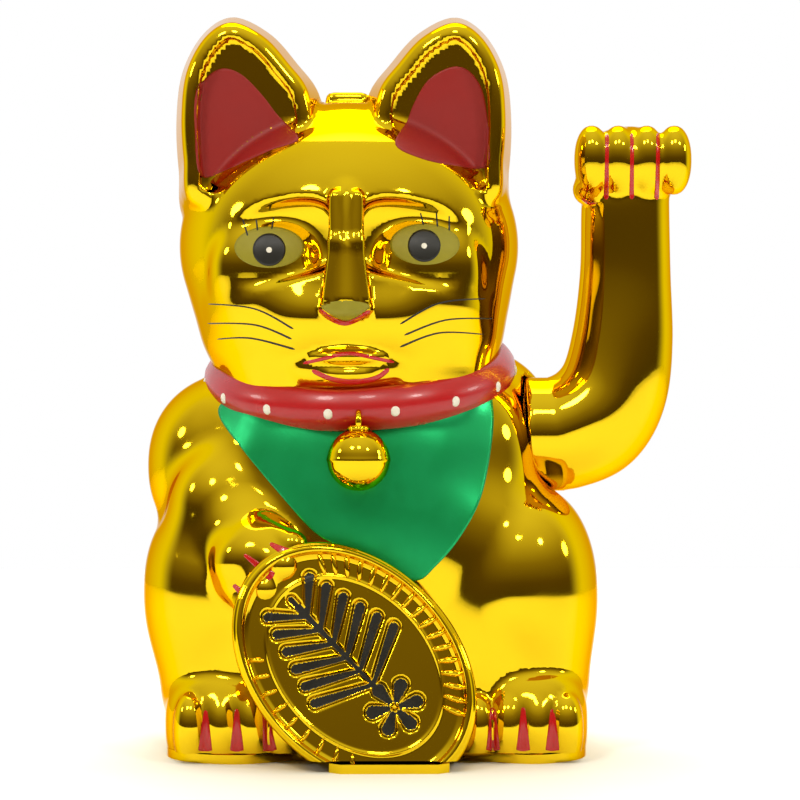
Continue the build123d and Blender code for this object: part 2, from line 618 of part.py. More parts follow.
def pendulum_lever() -> Part:
    """The arm-like lever fixed on the shaft, hanging down to the magnet."""
    x0, x1 = LEVER_X - LEVER_T / 2, LEVER_X + LEVER_T / 2
    seat_z = AXLE_Z - PENDULUM_L + MAGNET_H / 2
    lever = block(x0, x1, -LEVER_W / 2, LEVER_W / 2, seat_z, AXLE_Z)
    lever = lever + rod_x(5.5, x0 - 2.5, x1 + 2.5, 0, AXLE_Z)
    lever = lever + rod_z(MAGNET_R, seat_z, seat_z + 2.0, LEVER_X, 0)
    return lever - rod_x(AXLE_R, x0 - 5, x1 + 5, 0, AXLE_Z)


def pendulum_magnet() -> Part:
    """The disc magnet under the lever."""
    top = AXLE_Z - PENDULUM_L + MAGNET_H / 2
    return rod_z(MAGNET_R, top - MAGNET_H, top, LEVER_X, 0)


def counterweight() -> Part:
    """The steel block that threads on the lever and outweighs the raised arm."""
    z = AXLE_Z - WEIGHT_L
    mass = Box(WEIGHT_X, WEIGHT_Y, WEIGHT_Z).moved(Location((LEVER_X, WEIGHT_SHIFT, z)))
    mass = chamfer(mass.edges().filter_by(Axis.X), 1.5)
    return mass - block(LEVER_X - LEVER_T / 2, LEVER_X + LEVER_T / 2, -LEVER_W / 2, LEVER_W / 2, 0, AXLE_Z)


# ---------------------------------------------------------------- raised arm
ARM_SCREWS = [(FOREARM_X, 124.0), (FOREARM_X - 3, 97.0)]
ARM_STATIONS = [                     # x, z, tilt of the section, radius
    (56.0, AXLE_Z + 0.3, 12.0, ARM_R),
    (65.0, AXLE_Z + 4.8, 42.0, ARM_R + 0.9),
    (70.6, AXLE_Z + 13.5, 70.0, ARM_R - 0.2),
    (72.6, AXLE_Z + 26.0, 86.0, FOREARM_R + 0.2),
    (FOREARM_X, AXLE_Z + 44.0, 90.0, WRIST_R + 0.4),
    (FOREARM_X, WRIST_Z, 90.0, WRIST_R),
    (FOREARM_X + 0.6, WRIST_Z + 8.0, 90.0, WRIST_R - 0.4),
]
FINGERS_X = [FOREARM_X - 9.9, FOREARM_X - 2.7, FOREARM_X + 5.1, FOREARM_X + 12.6]


def arm_tube(inset: float) -> Part:
    """The bent tube from the root up to the wrist."""
    sections = []
    for x, z, tilt, radius in [(ARM_X + inset, AXLE_Z, 0.0, ARM_R)] + ARM_STATIONS:
        direction = (math.cos(math.radians(tilt)), 0, math.sin(math.radians(tilt)))
        sections.append(Wire.make_circle(radius - inset, Plane(origin=(x, 0, z), x_dir=(0, 1, 0), z_dir=direction)))
    return Part() + Solid.make_loft(sections)


def arm_body() -> Part:
    """The hollow arm and paw before it is split."""
    paw = (FOREARM_X + 1, -2.0, PAW_Z)
    outer = arm_tube(0) + egg(*paw, PAW_RX, PAW_RY, PAW_RZ)
    for x in FINGERS_X:
        outer = outer + egg(x, -10.0, PAW_Z + 2, 4.7, 7.5, 8.6)
    inner = arm_tube(ARM_WALL) + egg(*paw, PAW_RX - ARM_WALL, PAW_RY - ARM_WALL, PAW_RZ - ARM_WALL)
    return outer - inner


def arm_half(front: bool) -> Part:
    """One moulding of the arm with its hub seats, screw posts and screw holes."""
    ribs = rod_x(ARM_R - ARM_WALL / 2, HUB_END_X - 5, HUB_END_X - 3, 0, AXLE_Z)
    for x, z in ARM_SCREWS:
        ribs = ribs + (rod_y(BOSS_R, -30, 0, x, z) if front else rod_y(BOSS_R + 0.4, 0, 30, x, z))
    half = arm_body() + (ribs & (arm_tube(ARM_WALL / 2)))
    half = half - rod_x(HUB_R, ARM_X - 1, HUB_END_X, 0, AXLE_Z)
    for x, z in ARM_SCREWS:
        half = half - rod_y(SCREW_R, -9, 5, x, z) - rod_y(HEAD_R + FIT, 5, 30, x, z)
    return half & half_space(front)


def arm_hub() -> Part:
    """The plug between shaft and arm."""
    hub = rod_x(HUB_R, ARM_X, HUB_END_X, 0, AXLE_Z) + rod_x(HUB_R + 3, ARM_X + ARM_WALL, ARM_X + ARM_WALL + 2, 0, AXLE_Z)
    return hub - rod_x(AXLE_R, ARM_X - 1, HUB_END_X - 1, 0, AXLE_Z)


def arm_screws() -> Part:
    """The two screws that hold the arm's halves together, from behind."""
    screws = Part()
    for x, z in ARM_SCREWS:
        screw = rod_y(HEAD_R, 5, 5 + HEAD_H, x, z) + rod_y(SCREW_R, -8, 5.5, x, z)
        screws = screws + (screw - block(x - 1.6, x + 1.6, 5.7, 8, z - 0.35, z + 0.35))
    return screws


# ---------------------------------------------------------------- nodes
LEAD_Z = WELL_TOP_Z + 1.4
PINS_Z = BASE_T + SWITCH_H + 1.8


def nodes() -> dict[str, Part]:
    """Every separate piece, by node name."""
    base_screws = Part()
    for x, y in BOSSES_FRONT + BOSSES_BACK:
        base_screws = base_screws + screw_up(x, y, DOOR_Z, 13.0)
    bracket_screws = Part()
    for x, z in BRACKET_SCREWS:
        bracket_screws = bracket_screws + screw_back(x, BRACKET_Y, z, BRACKET_T + 7)
    contact_y = CELL_Y - 3.0
    plus_x = WELL_X1 - CONTACT_T / 2
    minus_x = WELL_X0 + CONTACT_T / 2
    return {
        "front_shell": shell(True),
        "back_shell": shell(False),
        "base_plate": base_plate(),
        "base_screws": base_screws,
        "battery_door": battery_door(),
        "battery_cell": cell(),
        "contact_positive": contact_plate(WELL_X1 - CONTACT_T),
        "contact_negative": contact_plate(WELL_X0),
        "contact_spring": contact_spring(),
        "switch_body": switch_body(),
        "switch_knob": switch_knob(),
        "circuit_board": circuit_board(),
        "board_screws": board_screws(),
        "coil_bobbin": coil_bobbin(),
        "coil_winding": coil_winding(),
        "transistor": transistor(),
        "capacitor": capacitor(),
        "resistor": resistor(),
        "lead_positive": lead([(plus_x, contact_y, LEAD_Z), (plus_x + 2.2, contact_y - 1, LEAD_Z + 2.4),
                               (19.0, 6.5, BOARD_Z + BOARD_T)]),
        "lead_negative": lead([(minus_x, contact_y, LEAD_Z), (minus_x + 2.0, contact_y - 4, LEAD_Z + 4),
                               (minus_x + 9, -4.0, LEAD_Z + 2), (SWITCH_X - 6, SWITCH_Y + 1, PINS_Z + 5),
                               (SWITCH_X - 3.5, SWITCH_Y, PINS_Z)]),
        "lead_switch": lead([(SWITCH_X + 3.5, SWITCH_Y, PINS_Z), (SWITCH_X + 6, SWITCH_Y - 0.5, PINS_Z + 4.5),
                             (4.0, SWITCH_Y - 1.5, PINS_Z + 6), (17.0, SWITCH_Y - 0.6, PINS_Z + 4),
                             (19.6, SWITCH_Y, BOARD_Z + BOARD_T)]),
        "pivot_bracket": pivot_bracket(),
        "bracket_screws": bracket_screws,
        "shaft_bushes": shaft_bushes(),
        "pivot_shaft": pivot_shaft(),
        "shaft_clip": shaft_clip(),
        "pendulum_lever": pendulum_lever(),
        "pendulum_magnet": pendulum_magnet(),
        "counterweight": counterweight(),
        "arm_front_half": arm_half(True),
        "arm_rear_half": arm_half(False),
        "arm_hub": arm_hub(),
        "arm_screws": arm_screws(),
    }


def main() -> None:
    """Write one STEP file per node."""
    os.makedirs("parts", exist_ok=True)
    for name, part in nodes().items():
        export_step(part, f"parts/{name}.step")


if __name__ == "__main__":
    main()
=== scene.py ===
"""A seated waving fortune cat in gold-metallised plastic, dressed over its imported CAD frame.

Lengths inside the classes are millimetres in the frame of the CAD model, and become metres
only when a mesh is made.
"""

from __future__ import annotations

import logging
import math
from dataclasses import dataclass, field, replace
from enum import Enum
from typing import Any, Callable, Iterable, Sequence

import bmesh
import bpy
import numpy as np
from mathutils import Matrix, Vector

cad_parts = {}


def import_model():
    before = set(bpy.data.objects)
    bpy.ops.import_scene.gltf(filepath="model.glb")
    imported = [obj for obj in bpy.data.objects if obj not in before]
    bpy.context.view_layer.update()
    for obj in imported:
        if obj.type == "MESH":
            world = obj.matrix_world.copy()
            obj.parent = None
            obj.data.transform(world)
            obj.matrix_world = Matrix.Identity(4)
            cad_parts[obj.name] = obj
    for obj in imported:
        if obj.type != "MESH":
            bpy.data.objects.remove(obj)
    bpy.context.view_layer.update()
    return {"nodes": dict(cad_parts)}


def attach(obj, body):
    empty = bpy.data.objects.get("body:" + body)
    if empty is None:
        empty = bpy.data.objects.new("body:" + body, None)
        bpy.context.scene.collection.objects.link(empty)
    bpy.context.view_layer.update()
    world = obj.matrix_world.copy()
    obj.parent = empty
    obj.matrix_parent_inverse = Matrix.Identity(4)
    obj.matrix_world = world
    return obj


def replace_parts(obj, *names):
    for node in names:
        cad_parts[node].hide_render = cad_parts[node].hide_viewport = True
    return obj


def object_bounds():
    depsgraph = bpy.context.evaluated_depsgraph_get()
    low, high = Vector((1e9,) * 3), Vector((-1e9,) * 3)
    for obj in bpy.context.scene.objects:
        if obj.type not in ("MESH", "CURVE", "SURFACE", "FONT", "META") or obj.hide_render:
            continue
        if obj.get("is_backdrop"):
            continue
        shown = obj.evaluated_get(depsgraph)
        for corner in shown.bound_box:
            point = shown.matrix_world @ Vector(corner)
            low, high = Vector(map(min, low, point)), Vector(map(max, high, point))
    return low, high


LOG = logging.getLogger("fortune_cat")
# Metres in a millimetre.
MM = 0.001
# A distance that counts as out of reach of every form, in millimetres.
FAR = 30.0
Point = tuple[float, float, float]
Flat = tuple[float, float]


# ------------------------------------------------------------------ small helpers
def srgb(code: str) -> tuple[float, float, float, float]:
    """Turn a colour code into the linear colour that a shader takes.

    Args:
        code: Six hex digits of an sRGB colour, with or without a leading sign.

    Returns:
        Linear red, green and blue, and an alpha of one.
    """
    text = code.lstrip("#")
    parts = [int(text[i:i + 2], 16) / 255 for i in (0, 2, 4)]
    linear = [c / 12.92 if c <= 0.04045 else ((c + 0.055) / 1.055) ** 2.4 for c in parts]
    return (linear[0], linear[1], linear[2], 1.0)


def add_node(tree: bpy.types.NodeTree, kind: str, values: dict[Any, Any] | None = None,
             links: dict[Any, Any] | None = None, **settings: Any) -> bpy.types.Node:
    """Add a node with its settings, socket values and incoming links.

    Args:
        tree: The node tree that gets the node.
        kind: The node's type name.
        values: Numbers or colours for input sockets, by socket name or number.
        links: Output sockets to join to input sockets, by socket name or number.
        **settings: Attributes of the node itself.

    Returns:
        The new node.
    """
    node = tree.nodes.new(kind)
    for name, value in settings.items():
        setattr(node, name, value)
    for name, value in (values or {}).items():
        node.inputs[name].default_value = value
    for name, source in (links or {}).items():
        tree.links.new(source, node.inputs[name])
    return node


def rows(points: Iterable[Sequence[float]]) -> np.ndarray:
    """Give the points as an array with one row for each."""
    return np.array([tuple(p) for p in points], dtype=np.float64)


def smooth_line(points: Sequence[Sequence[float]], per_span: int, closed: bool) -> np.ndarray:
    """Run a smooth curve through points.

    Args:
        points: The points, in order.
        per_span: How many steps each span gets.
        closed: Whether the curve comes back to its first point.

    Returns:
        Points along the curve, one row each.
    """
    p = rows(points)
    n = len(p)
    spans = n if closed else n - 1
    out = []
    for i in range(spans):
        if closed:
            a, b, c, d = p[(i - 1) % n], p[i], p[(i + 1) % n], p[(i + 2) % n]
        else:
            a, b, c, d = p[max(i - 1, 0)], p[i], p[i + 1], p[min(i + 2, n - 1)]
        for t in np.arange(per_span) / per_span:
            out.append(0.5 * (2 * b + (c - a) * t + (2 * a - 5 * b + 4 * c - d) * t * t
                              + (3 * b - 3 * c + d - a) * t ** 3))
    if not closed:
        out.append(p[-1])
    return np.array(out)


# ------------------------------------------------------------------ finishes
@dataclass(frozen=True)
class Finish:
    """One real surface: two tones that drift into each other, a range of roughness, and a grain.

    Attributes:
        name: What the material really is.
        tone: Its colour, as an sRGB code.
        second_tone: The colour that it drifts to.
        metallic: How metallic it is, from 0 to 1.
        roughness: Its lowest and highest roughness.
        drift: How wide the drifting patches are, in millimetres.
        grain: How wide the ripples of the surface are, in millimetres.
        relief: How deep the ripples are, in millimetres.
        coat: The weight of a clear coat.
        edge: The tint of reflections at a grazing angle.
        slot: The material slot of the record that it stands for; not used.
    """

    name: str
    tone: str
    second_tone: str
    metallic: float
    roughness: tuple[float, float]
    drift: float
    grain: float
    relief: float
    coat: float = 0.0
    edge: str = "#FFFFFF"
    slot: str = ""

    def material(self) -> bpy.types.Material:
        """Give the finish's material, made on first use.

        Returns:
            The material.
        """
        known = bpy.data.materials.get(self.name)
        if known is not None:
            return known
        made = bpy.data.materials.new(self.name)
        made.use_nodes = True
        tree = made.node_tree
        tree.nodes.clear()
        place = add_node(tree, "ShaderNodeTexCoord").outputs["Object"]
        cloud = add_node(tree, "ShaderNodeTexNoise",
                         {"Scale": 1 / (self.drift * MM), "Detail": 3.0, "Roughness": 0.55},
                         {"Vector": place})
        grain = add_node(tree, "ShaderNodeTexNoise",
                         {"Scale": 1 / (self.grain * MM), "Detail": 2.0, "Roughness": 0.5}, {"Vector": place})
        tones = add_node(tree, "ShaderNodeMix", {6: srgb(self.tone), 7: srgb(self.second_tone)},
                         {0: cloud.outputs["Fac"]}, data_type="RGBA")
        rough = add_node(tree, "ShaderNodeMapRange",
                         {1: 0.35, 2: 0.65, 3: self.roughness[0], 4: self.roughness[1]},
                         {0: cloud.outputs["Fac"]})
        bump = add_node(tree, "ShaderNodeBump", {"Strength": 0.6, "Distance": self.relief * MM},
                        {"Height": grain.outputs["Fac"]})
        shader = add_node(tree, "ShaderNodeBsdfPrincipled",
                          {"Metallic": self.metallic, "Coat Weight": self.coat, "Coat Roughness": 0.06,
                           "Specular Tint": srgb(self.edge)},
                          {"Base Color": tones.outputs[2], "Roughness": rough.outputs[0],
                           "Normal": bump.outputs["Normal"]})
        add_node(tree, "ShaderNodeOutputMaterial", None, {"Surface": shader.outputs[0]})
        return made


# Vacuum-metallised ABS under a yellow lacquer: a deep mirror with a faint moulding ripple.
GOLD = Finish("Vacuum_metallised_gold_ABS", "#EBCB20", "#E3BC18", 1.0, (0.04, 0.08), 30.0, 7.0, 0.0045,
              edge="#E6B400", slot="gold_plated_abs")
# Green lacquer over the same mirror, sprayed with a fine metallic flake: a soft sheen.
GREEN = Finish("Metallic_green_lacquer", "#19B86C", "#109A5C", 0.75, (0.3, 0.38), 9.0, 0.7, 0.02,
               slot="gold_plated_abs")
# Satin enamel, brushed on thick: its highlight is broad and a little uneven.
RED_SATIN = Finish("Satin_red_enamel", "#B80F1A", "#A30B15", 0.0, (0.26, 0.36), 12.0, 2.4, 0.03, 0.2,
                   slot="gold_plated_abs")
# Flat spray paint in the hollows of the ears.
RED_MATT = Finish("Sprayed_red_paint", "#96100F", "#860D0D", 0.0, (0.45, 0.58), 14.0, 0.8, 0.02,
                  slot="gold_plated_abs")
# Gloss enamel drawn with a fine brush: thin lines with a sharp highlight.
RED_LINE = Finish("Gloss_red_line_enamel", "#C4101A", "#B00C14", 0.0, (0.16, 0.26), 4.0, 1.0, 0.01, 0.3,
                  slot="gold_plated_abs")
# Black enamel of the pupils, lashes and whiskers: dark, with a softened highlight.
BLACK_LINE = Finish("Gloss_black_enamel", "#0B0B0A", "#12110F", 0.0, (0.38, 0.48), 5.0, 1.0, 0.01,
                    slot="gold_plated_abs")
# Warm white enamel, dabbed on: a plain bright dot.
WHITE_DOT = Finish("White_enamel", "#E9E6DC", "#DDD9CC", 0.0, (0.25, 0.35), 3.0, 0.8, 0.01,
                   slot="gold_plated_abs")
# Dull olive paint, darker than the gold round it: on the eyes partly their own paint and partly a painted
# reflection of the flat eye faces; on the nose tip a painted reflection only.
OLIVE_PAINT_AND_REFLECTION = Finish("Olive_paint_and_painted_reflection", "#948A12", "#857C10", 0.1, (0.5, 0.6), 5.0, 0.9, 0.01,
               slot="gold_plated_abs")
# Matt paper under the object: a pale ground that takes a soft shadow.
PAPER = Finish("Pale_paper_floor", "#F6F5F1", "#F2F1EC", 0.0, (0.6, 0.75), 60.0, 2.0, 0.01)
# The plastics and metals of the mechanism, by the slot that each stands for.
INNER_FINISHES = {
    "gold_plated_abs": GOLD,
    # Moulded plastics: an even dull skin with a fine moulding texture.
    "black_abs": Finish("Moulded_black_ABS", "#141414", "#1B1B1A", 0.0, (0.38, 0.5), 10.0, 0.6, 0.03),
    "white_abs": Finish("Moulded_white_ABS", "#DEDCD2", "#D2D0C4", 0.0, (0.34, 0.46), 12.0, 0.6, 0.03),
    # Plated and turned metals: a soft mirror that its tool marks blur.
    "steel": Finish("Zinc_plated_steel", "#B4B5B8", "#A3A4A6", 1.0, (0.24, 0.38), 3.0, 0.4, 0.01),
    "nickel": Finish("Nickel_plated_spring_steel", "#C2BBAE", "#B3AC9E", 1.0, (0.16, 0.28), 3.0, 0.4, 0.01),
    "brass": Finish("Turned_brass", "#C69A45", "#B38836", 1.0, (0.2, 0.32), 2.0, 0.3, 0.01),
    # Printed film shrunk round the cell: a smooth coloured gloss.
    "cell_jacket": Finish("Printed_shrink_jacket", "#243C74", "#1D3262", 0.3, (0.24, 0.34), 8.0, 0.6, 0.01,
                          0.3),
    # Lacquered wire in close turns: a brown metal, whose rough glitter is drawn coarser than the turns are.
    "copper": Finish("Enamelled_copper_wire", "#9C5428", "#87451F", 0.9, (0.22, 0.34), 1.2, 0.25, 0.08),
    # Resin-soaked paper: a dull brown with a soft mottle.
    "board": Finish("Phenolic_paper_board", "#8A6230", "#775224", 0.0, (0.42, 0.56), 3.0, 0.5, 0.02),
    # Soft extruded sleeves: plain colour with a dull sheen.
    "red_insulation": Finish("Red_PVC_insulation", "#A3161A", "#911216", 0.0, (0.4, 0.5), 4.0, 0.5, 0.01),
    "black_insulation": Finish("Black_PVC_insulation", "#121212", "#191918", 0.0, (0.4, 0.5), 4.0, 0.5,
                               0.01),
}


# ------------------------------------------------------------------ meshes
def make_object(name: str, points: np.ndarray, faces: Sequence[Sequence[int]], finishes: Sequence[Finish],
                body: str, marks: Sequence[int] | None = None, normals: np.ndarray | None = None,
                smooth: bool = True) -> bpy.types.Object:
    """Make a piece from its points and faces.

    Args:
        name: The piece's name.
        points: Its points in millimetres.
        faces: Its faces, as numbers of points, in outward order.
        finishes: Its finishes, in the order of its material slots.
        body: The CAD body that it rides on.
        marks: The slot number of each face.
        normals: A normal for each corner of each face.
        smooth: Whether its faces are shaded smooth.

    Returns:
        The piece's object, at the origin, riding on its body.
    """
    mesh = bpy.data.meshes.new(name)
    mesh.from_pydata((np.asarray(points) * MM).tolist(), [], [list(map(int, f)) for f in faces])
    for finish in finishes:
        mesh.materials.append(finish.material())
    if marks is not None:
        mesh.polygons.foreach_set("material_index", np.array(marks, dtype=np.int32))
    mesh.polygons.foreach_set("use_smooth", np.full(len(mesh.polygons), smooth))
    if normals is not None:
        mesh.normals_split_custom_set(normals.tolist())
    mesh.update()
    piece = bpy.data.objects.new(name, mesh)
    bpy.context.scene.collection.objects.link(piece)
    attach(piece, body)
    return piece


def tube_faces(around: int, section: int) -> list[list[int]]:
    """Give the faces of a closed ring.

    Args:
        around: How many sections the ring has.
        section: How many points each section has. They are numbered one section after another.

    Returns:
        Faces of four points each.
    """
    faces = []
    for i in range(around):
        here, beyond = i * section, ((i + 1) % around) * section
        for j in range(section):
            k = (j + 1) % section
            faces.append([here + j, beyond + j, beyond + k, here + k])
    return faces


def disc_faces(rings: int, around: int) -> list[list[int]]:
    """Give the faces of a disc: a middle point, then rings from the inside out.

    Args:
        rings: How many rings of points lie round the middle.
        around: How many points each ring has.

    Returns:
        The triangles round the middle, then faces of four points each.
    """
    faces = [[0, 1 + i, 1 + (i + 1) % around] for i in range(around)]
    for ring in range(rings - 1):
        a, b = 1 + ring * around, 1 + (ring + 1) * around
        faces += [[a + i, b + i, b + (i + 1) % around, a + (i + 1) % around] for i in range(around)]
    return faces


def gathered(parts: Iterable[tuple[np.ndarray, list[list[int]]]]) -> tuple[np.ndarray, list[list[int]]]:
    """Join separate shapes into one.

    Args:
        parts: The points and faces of each shape.

    Returns:
        All the points, and all the faces with their numbers moved on.
    """
    points, faces, count = [], [], 0
    for part, part_faces in parts:
        points.append(part)
        faces += [[i + count for i in f] for f in part_faces]
        count += len(part)
    return np.concatenate(points), faces


def laid_level(ring: np.ndarray, x: float, z: float) -> np.ndarray:
    """Lay a shape that was made about the Z axis along Y, centred on that X and Z."""
    return np.stack([ring[:, 0] + x, ring[:, 2], z - ring[:, 1]], 1)


def spun(profile: Sequence[Flat], turns: int) -> tuple[np.ndarray, list[list[int]]]:
    """Turn a closed profile about the Z axis.

    Args:
        profile: Radius and height of its points, so that the solid lies on its left.
        turns: How many sides the ring has.

    Returns:
        The points and the faces of a closed ring.
    """
    p = rows(profile)
    angles = np.arange(turns) * 2 * math.pi / turns
    points = np.array([(r * math.cos(a), r * math.sin(a), z) for a in angles for r, z in p])
    return points, tube_faces(turns, len(p))


# ------------------------------------------------------------------ rounded forms
# Each form tells the corners that hold it, and its rough distance from each point (negative inside).
def soft_min(a: np.ndarray, b: np.ndarray, blend: float) -> np.ndarray:
    """Join two distances with a fillet.

    Args:
        a: The distances outside one form.
        b: The distances outside the other.
        blend: How wide the fillet is.

    Returns:
        The distances outside both forms together.
    """
    if blend <= 0:
        return np.minimum(a, b)
    h = np.maximum(blend - np.abs(a - b), 0) / blend
    return np.minimum(a, b) - h * h * blend / 4


@dataclass(frozen=True)
class Mass:
    """A rounded lump.

    Attributes:
        centre: Its middle.
        radii: Its half widths along X, Y and Z.
        power: Two gives an ellipsoid, and more gives fuller corners.
        turn: How many degrees it leans in the plane across Y.
    """

    centre: Point
    radii: Point
    power: float = 2.0
    turn: float = 0.0

    def reach(self) -> tuple[np.ndarray, np.ndarray]:
        """Give the lowest and highest corner that hold the lump."""
        size = np.array(self.radii) if not self.turn else np.full(3, max(self.radii))
        return np.array(self.centre) - size, np.array(self.centre) + size

    def distance(self, p: np.ndarray) -> np.ndarray:
        """Give each point's rough distance outside the lump.

        Args:
            p: The points, one row each.

        Returns:
            One distance for each, less than zero inside.
        """
        q = p - np.array(self.centre)
        if self.turn:
            c, s = math.cos(math.radians(self.turn)), math.sin(math.radians(self.turn))
            q = np.stack([c * q[:, 0] + s * q[:, 2], q[:, 1], -s * q[:, 0] + c * q[:, 2]], 1)
        q = np.abs(q) / np.array(self.radii) + 1e-6
        size = (q ** self.power).sum(1) ** (1 / self.power)
        slope = size[:, None] ** (1 - self.power) * q ** (self.power - 1) / np.array(self.radii)
        return (size - 1) / np.maximum(np.linalg.norm(slope, axis=1), 1e-6)


@dataclass(frozen=True)
class Limb:
    """A rod with round ends and a radius that changes along it."""

    start: Point
    end: Point
    start_r: float
    end_r: float

    def reach(self) -> tuple[np.ndarray, np.ndarray]:
        """Give the lowest and highest corner that hold the rod."""
        ends, r = rows([self.start, self.end]), max(self.start_r, self.end_r)
        return ends.min(0) - r, ends.max(0) + r

    def distance(self, p: np.ndarray) -> np.ndarray:
        """Give each point's distance outside the rod.

        Args:
            p: The points, one row each.

        Returns:
            One distance for each, less than zero inside.
        """
        a, b = np.array(self.start), np.array(self.end)
        t = np.clip(((p - a) @ (b - a)) / max(float((b - a) @ (b - a)), 1e-9), 0, 1)
        radius = self.start_r + (self.end_r - self.start_r) * t
        return np.linalg.norm(p - a - t[:, None] * (b - a), axis=1) - radius


@dataclass(frozen=True)
class Barrel:
    """A flat-ended cylinder along X, from x0 to x1, with rounded edges."""

    x0: float
    x1: float
    y: float
    z: float
    r: float
    edge: float = 1.2

    def reach(self) -> tuple[np.ndarray, np.ndarray]:
        """Give the lowest and highest corner that hold the cylinder."""
        return (np.array([self.x0, self.y - self.r, self.z - self.r]),
                np.array([self.x1, self.y + self.r, self.z + self.r]))

    def distance(self, p: np.ndarray) -> np.ndarray:
        """Give each point's distance outside the cylinder.

        Args:
            p: The points, one row each.

        Returns:
            One distance for each, less than zero inside.
        """
        side = np.hypot(p[:, 1] - self.y, p[:, 2] - self.z) - self.r
        return -soft_min(-side, -np.maximum(self.x0 - p[:, 0], p[:, 0] - self.x1), self.edge)


@dataclass(frozen=True)
class Ear:
    """An ear: an outline that narrows to the front and the back, with a bowl sunk in its face.

    Attributes:
        middle_x: The line between the two ears.
        side: Minus one for the ear on low X, and one for the other.
        outline: X from the middle line and Z of the outline's points.
        centre: The point that the outline narrows to.
        front: The Y of the face.
        back: The Y of the back.
        front_size: The outline's size at the face, next to its size on the seam.
        back_size: Its size at the back.
        rim: How wide the rim round the bowl is.
        bowl: How deep the bowl is.
        edge: How round the outer edge is.
        bowl_edge: How round the edge of the bowl is.
    """

    middle_x: float
    side: int
    outline: tuple[Flat, ...]
    centre: Flat = (27.0, 174.0)
    front: float = -26.0
    back: float = 14.0
    front_size: float = 0.84
    back_size: float = 0.62
    rim: float = 4.3
    bowl: float = 4.6
    edge: float = 4.0
    bowl_edge: float = 1.0

    def reach(self) -> tuple[np.ndarray, np.ndarray]:
        """Find what holds the ear.

        Returns:
            The lowest and the highest corner.
        """
        flat = rows(self.outline)
        xs = self.middle_x + self.side * flat[:, 0]
        return (np.array([xs.min(), self.front, flat[:, 1].min()]),
                np.array([xs.max(), self.back, flat[:, 1].max()]))

    def distance(self, p: np.ndarray) -> np.ndarray:
        """Give each point's rough distance outside the ear.

        Args:
            p: The points, one row each.

        Returns:
            One distance for each, less than zero inside.
        """
        loop = smooth_line(self.outline, 8, True)
        y = np.clip(p[:, 1], self.front, self.back)
        to_front = 1 - (1 - self.front_size) * y / self.front
        to_back = 1 - (1 - self.back_size) * y / self.back
        size = np.where(y < 0, to_front, to_back)
        q = np.stack([self.side * (p[:, 0] - self.middle_x), p[:, 2]], 1)
        q = np.array(self.centre) + (q - np.array(self.centre)) / size[:, None]
        best, inside = np.full(len(q), 1e9), np.zeros(len(q), dtype=bool)
        for a, b in zip(loop, np.roll(loop, -1, axis=0)):
            t = np.clip(((q - a) @ (b - a)) / max(float((b - a) @ (b - a)), 1e-9), 0, 1)
            best = np.minimum(best, np.linalg.norm(q - a - t[:, None] * (b - a), axis=1))
            spans = (a[1] > q[:, 1]) != (b[1] > q[:, 1])
            if a[1] != b[1]:
                inside ^= spans & (q[:, 0] < (b[0] - a[0]) * (q[:, 1] - a[1]) / (b[1] - a[1]) + a[0])
        flat = np.where(inside, -best, best) * size
        slab = np.maximum(self.front - p[:, 1], p[:, 1] - self.back)
        solid = -soft_min(-flat, -slab, self.edge)
        bowl = -soft_min(-(flat + self.rim), -(p[:, 1] - self.front - self.bowl), self.bowl_edge)
        return -soft_min(-solid, bowl, self.bowl_edge)


Form = Mass | Limb | Barrel | Ear


class Join(Enum):
    """How a form meets what is there before it."""

    ADD = 1
    CUT = 2


@dataclass
class Skin:
    """A closed skin made of rounded forms, added and cut in order.

    Attributes:
        steps: How each form is joined, the form, and the width of its fillet.
        probe: The step over which the slope is measured for the shading: a wide one softens it.
    """

    steps: list[tuple[Join, Form, float]] = field(default_factory=list)
    probe: float = 0.15

    def add(self, form: Form, blend: float) -> None:
        """Join a form to the skin with a fillet."""
        self.steps.append((Join.ADD, form, blend))

    def cut(self, form: Form, blend: float) -> None:
        """Sink a form into the skin with a rounded edge."""
        self.steps.append((Join.CUT, form, blend))

    def value(self, p: np.ndarray) -> np.ndarray:
        """Give each point's rough distance outside the skin.

        A form counts only for the points near it, and a distance is never more than FAR.

        Args:
            p: The points, one row each.

        Returns:
            One distance for each, less than zero inside.
        """
        out = np.full(len(p), FAR)
        for join, form, blend in self.steps:
            low, high = form.reach()
            margin = blend + 6.0
            near = np.flatnonzero(np.all((p > low - margin) & (p < high + margin), axis=1))
            if not len(near):
                continue
            d = np.minimum(form.distance(p[near]), FAR)
            out[near] = soft_min(out[near], d, blend) if join is Join.ADD else -soft_min(-out[near], d, blend)
        return out

    def gradient(self, p: np.ndarray, step: float) -> np.ndarray:
        """Give the skin's outward slope.

        Args:
            p: The points, one row each.
            step: How far each way it is measured.

        Returns:
            The slope along X, Y and Z at each point.
        """
        out = np.zeros_like(p)
        for axis in range(3):
            shift = np.zeros(3)
            shift[axis] = step
            out[:, axis] = (self.value(p + shift) - self.value(p - shift)) / (2 * step)
        return out

    def settle(self, p: np.ndarray, rounds: int, limit: float) -> tuple[np.ndarray, np.ndarray]:
        """Move points onto the skin.

        Args:
            p: The points.
            rounds: How many times they are moved.
            limit: The longest step in one round.

        Returns:
            The moved points and their unit normals.
        """
        p = p.copy()
        for _ in range(rounds):
            slope = self.gradient(p, 0.15)
            step = self.value(p)[:, None] * slope / np.maximum((slope ** 2).sum(1), 0.05)[:, None]
            length = np.linalg.norm(step, axis=1)
            p -= step * np.minimum(1, limit / np.maximum(length, 1e-9))[:, None]
        slope = self.gradient(p, self.probe)
        return p, slope / np.maximum(np.linalg.norm(slope, axis=1), 1e-9)[:, None]


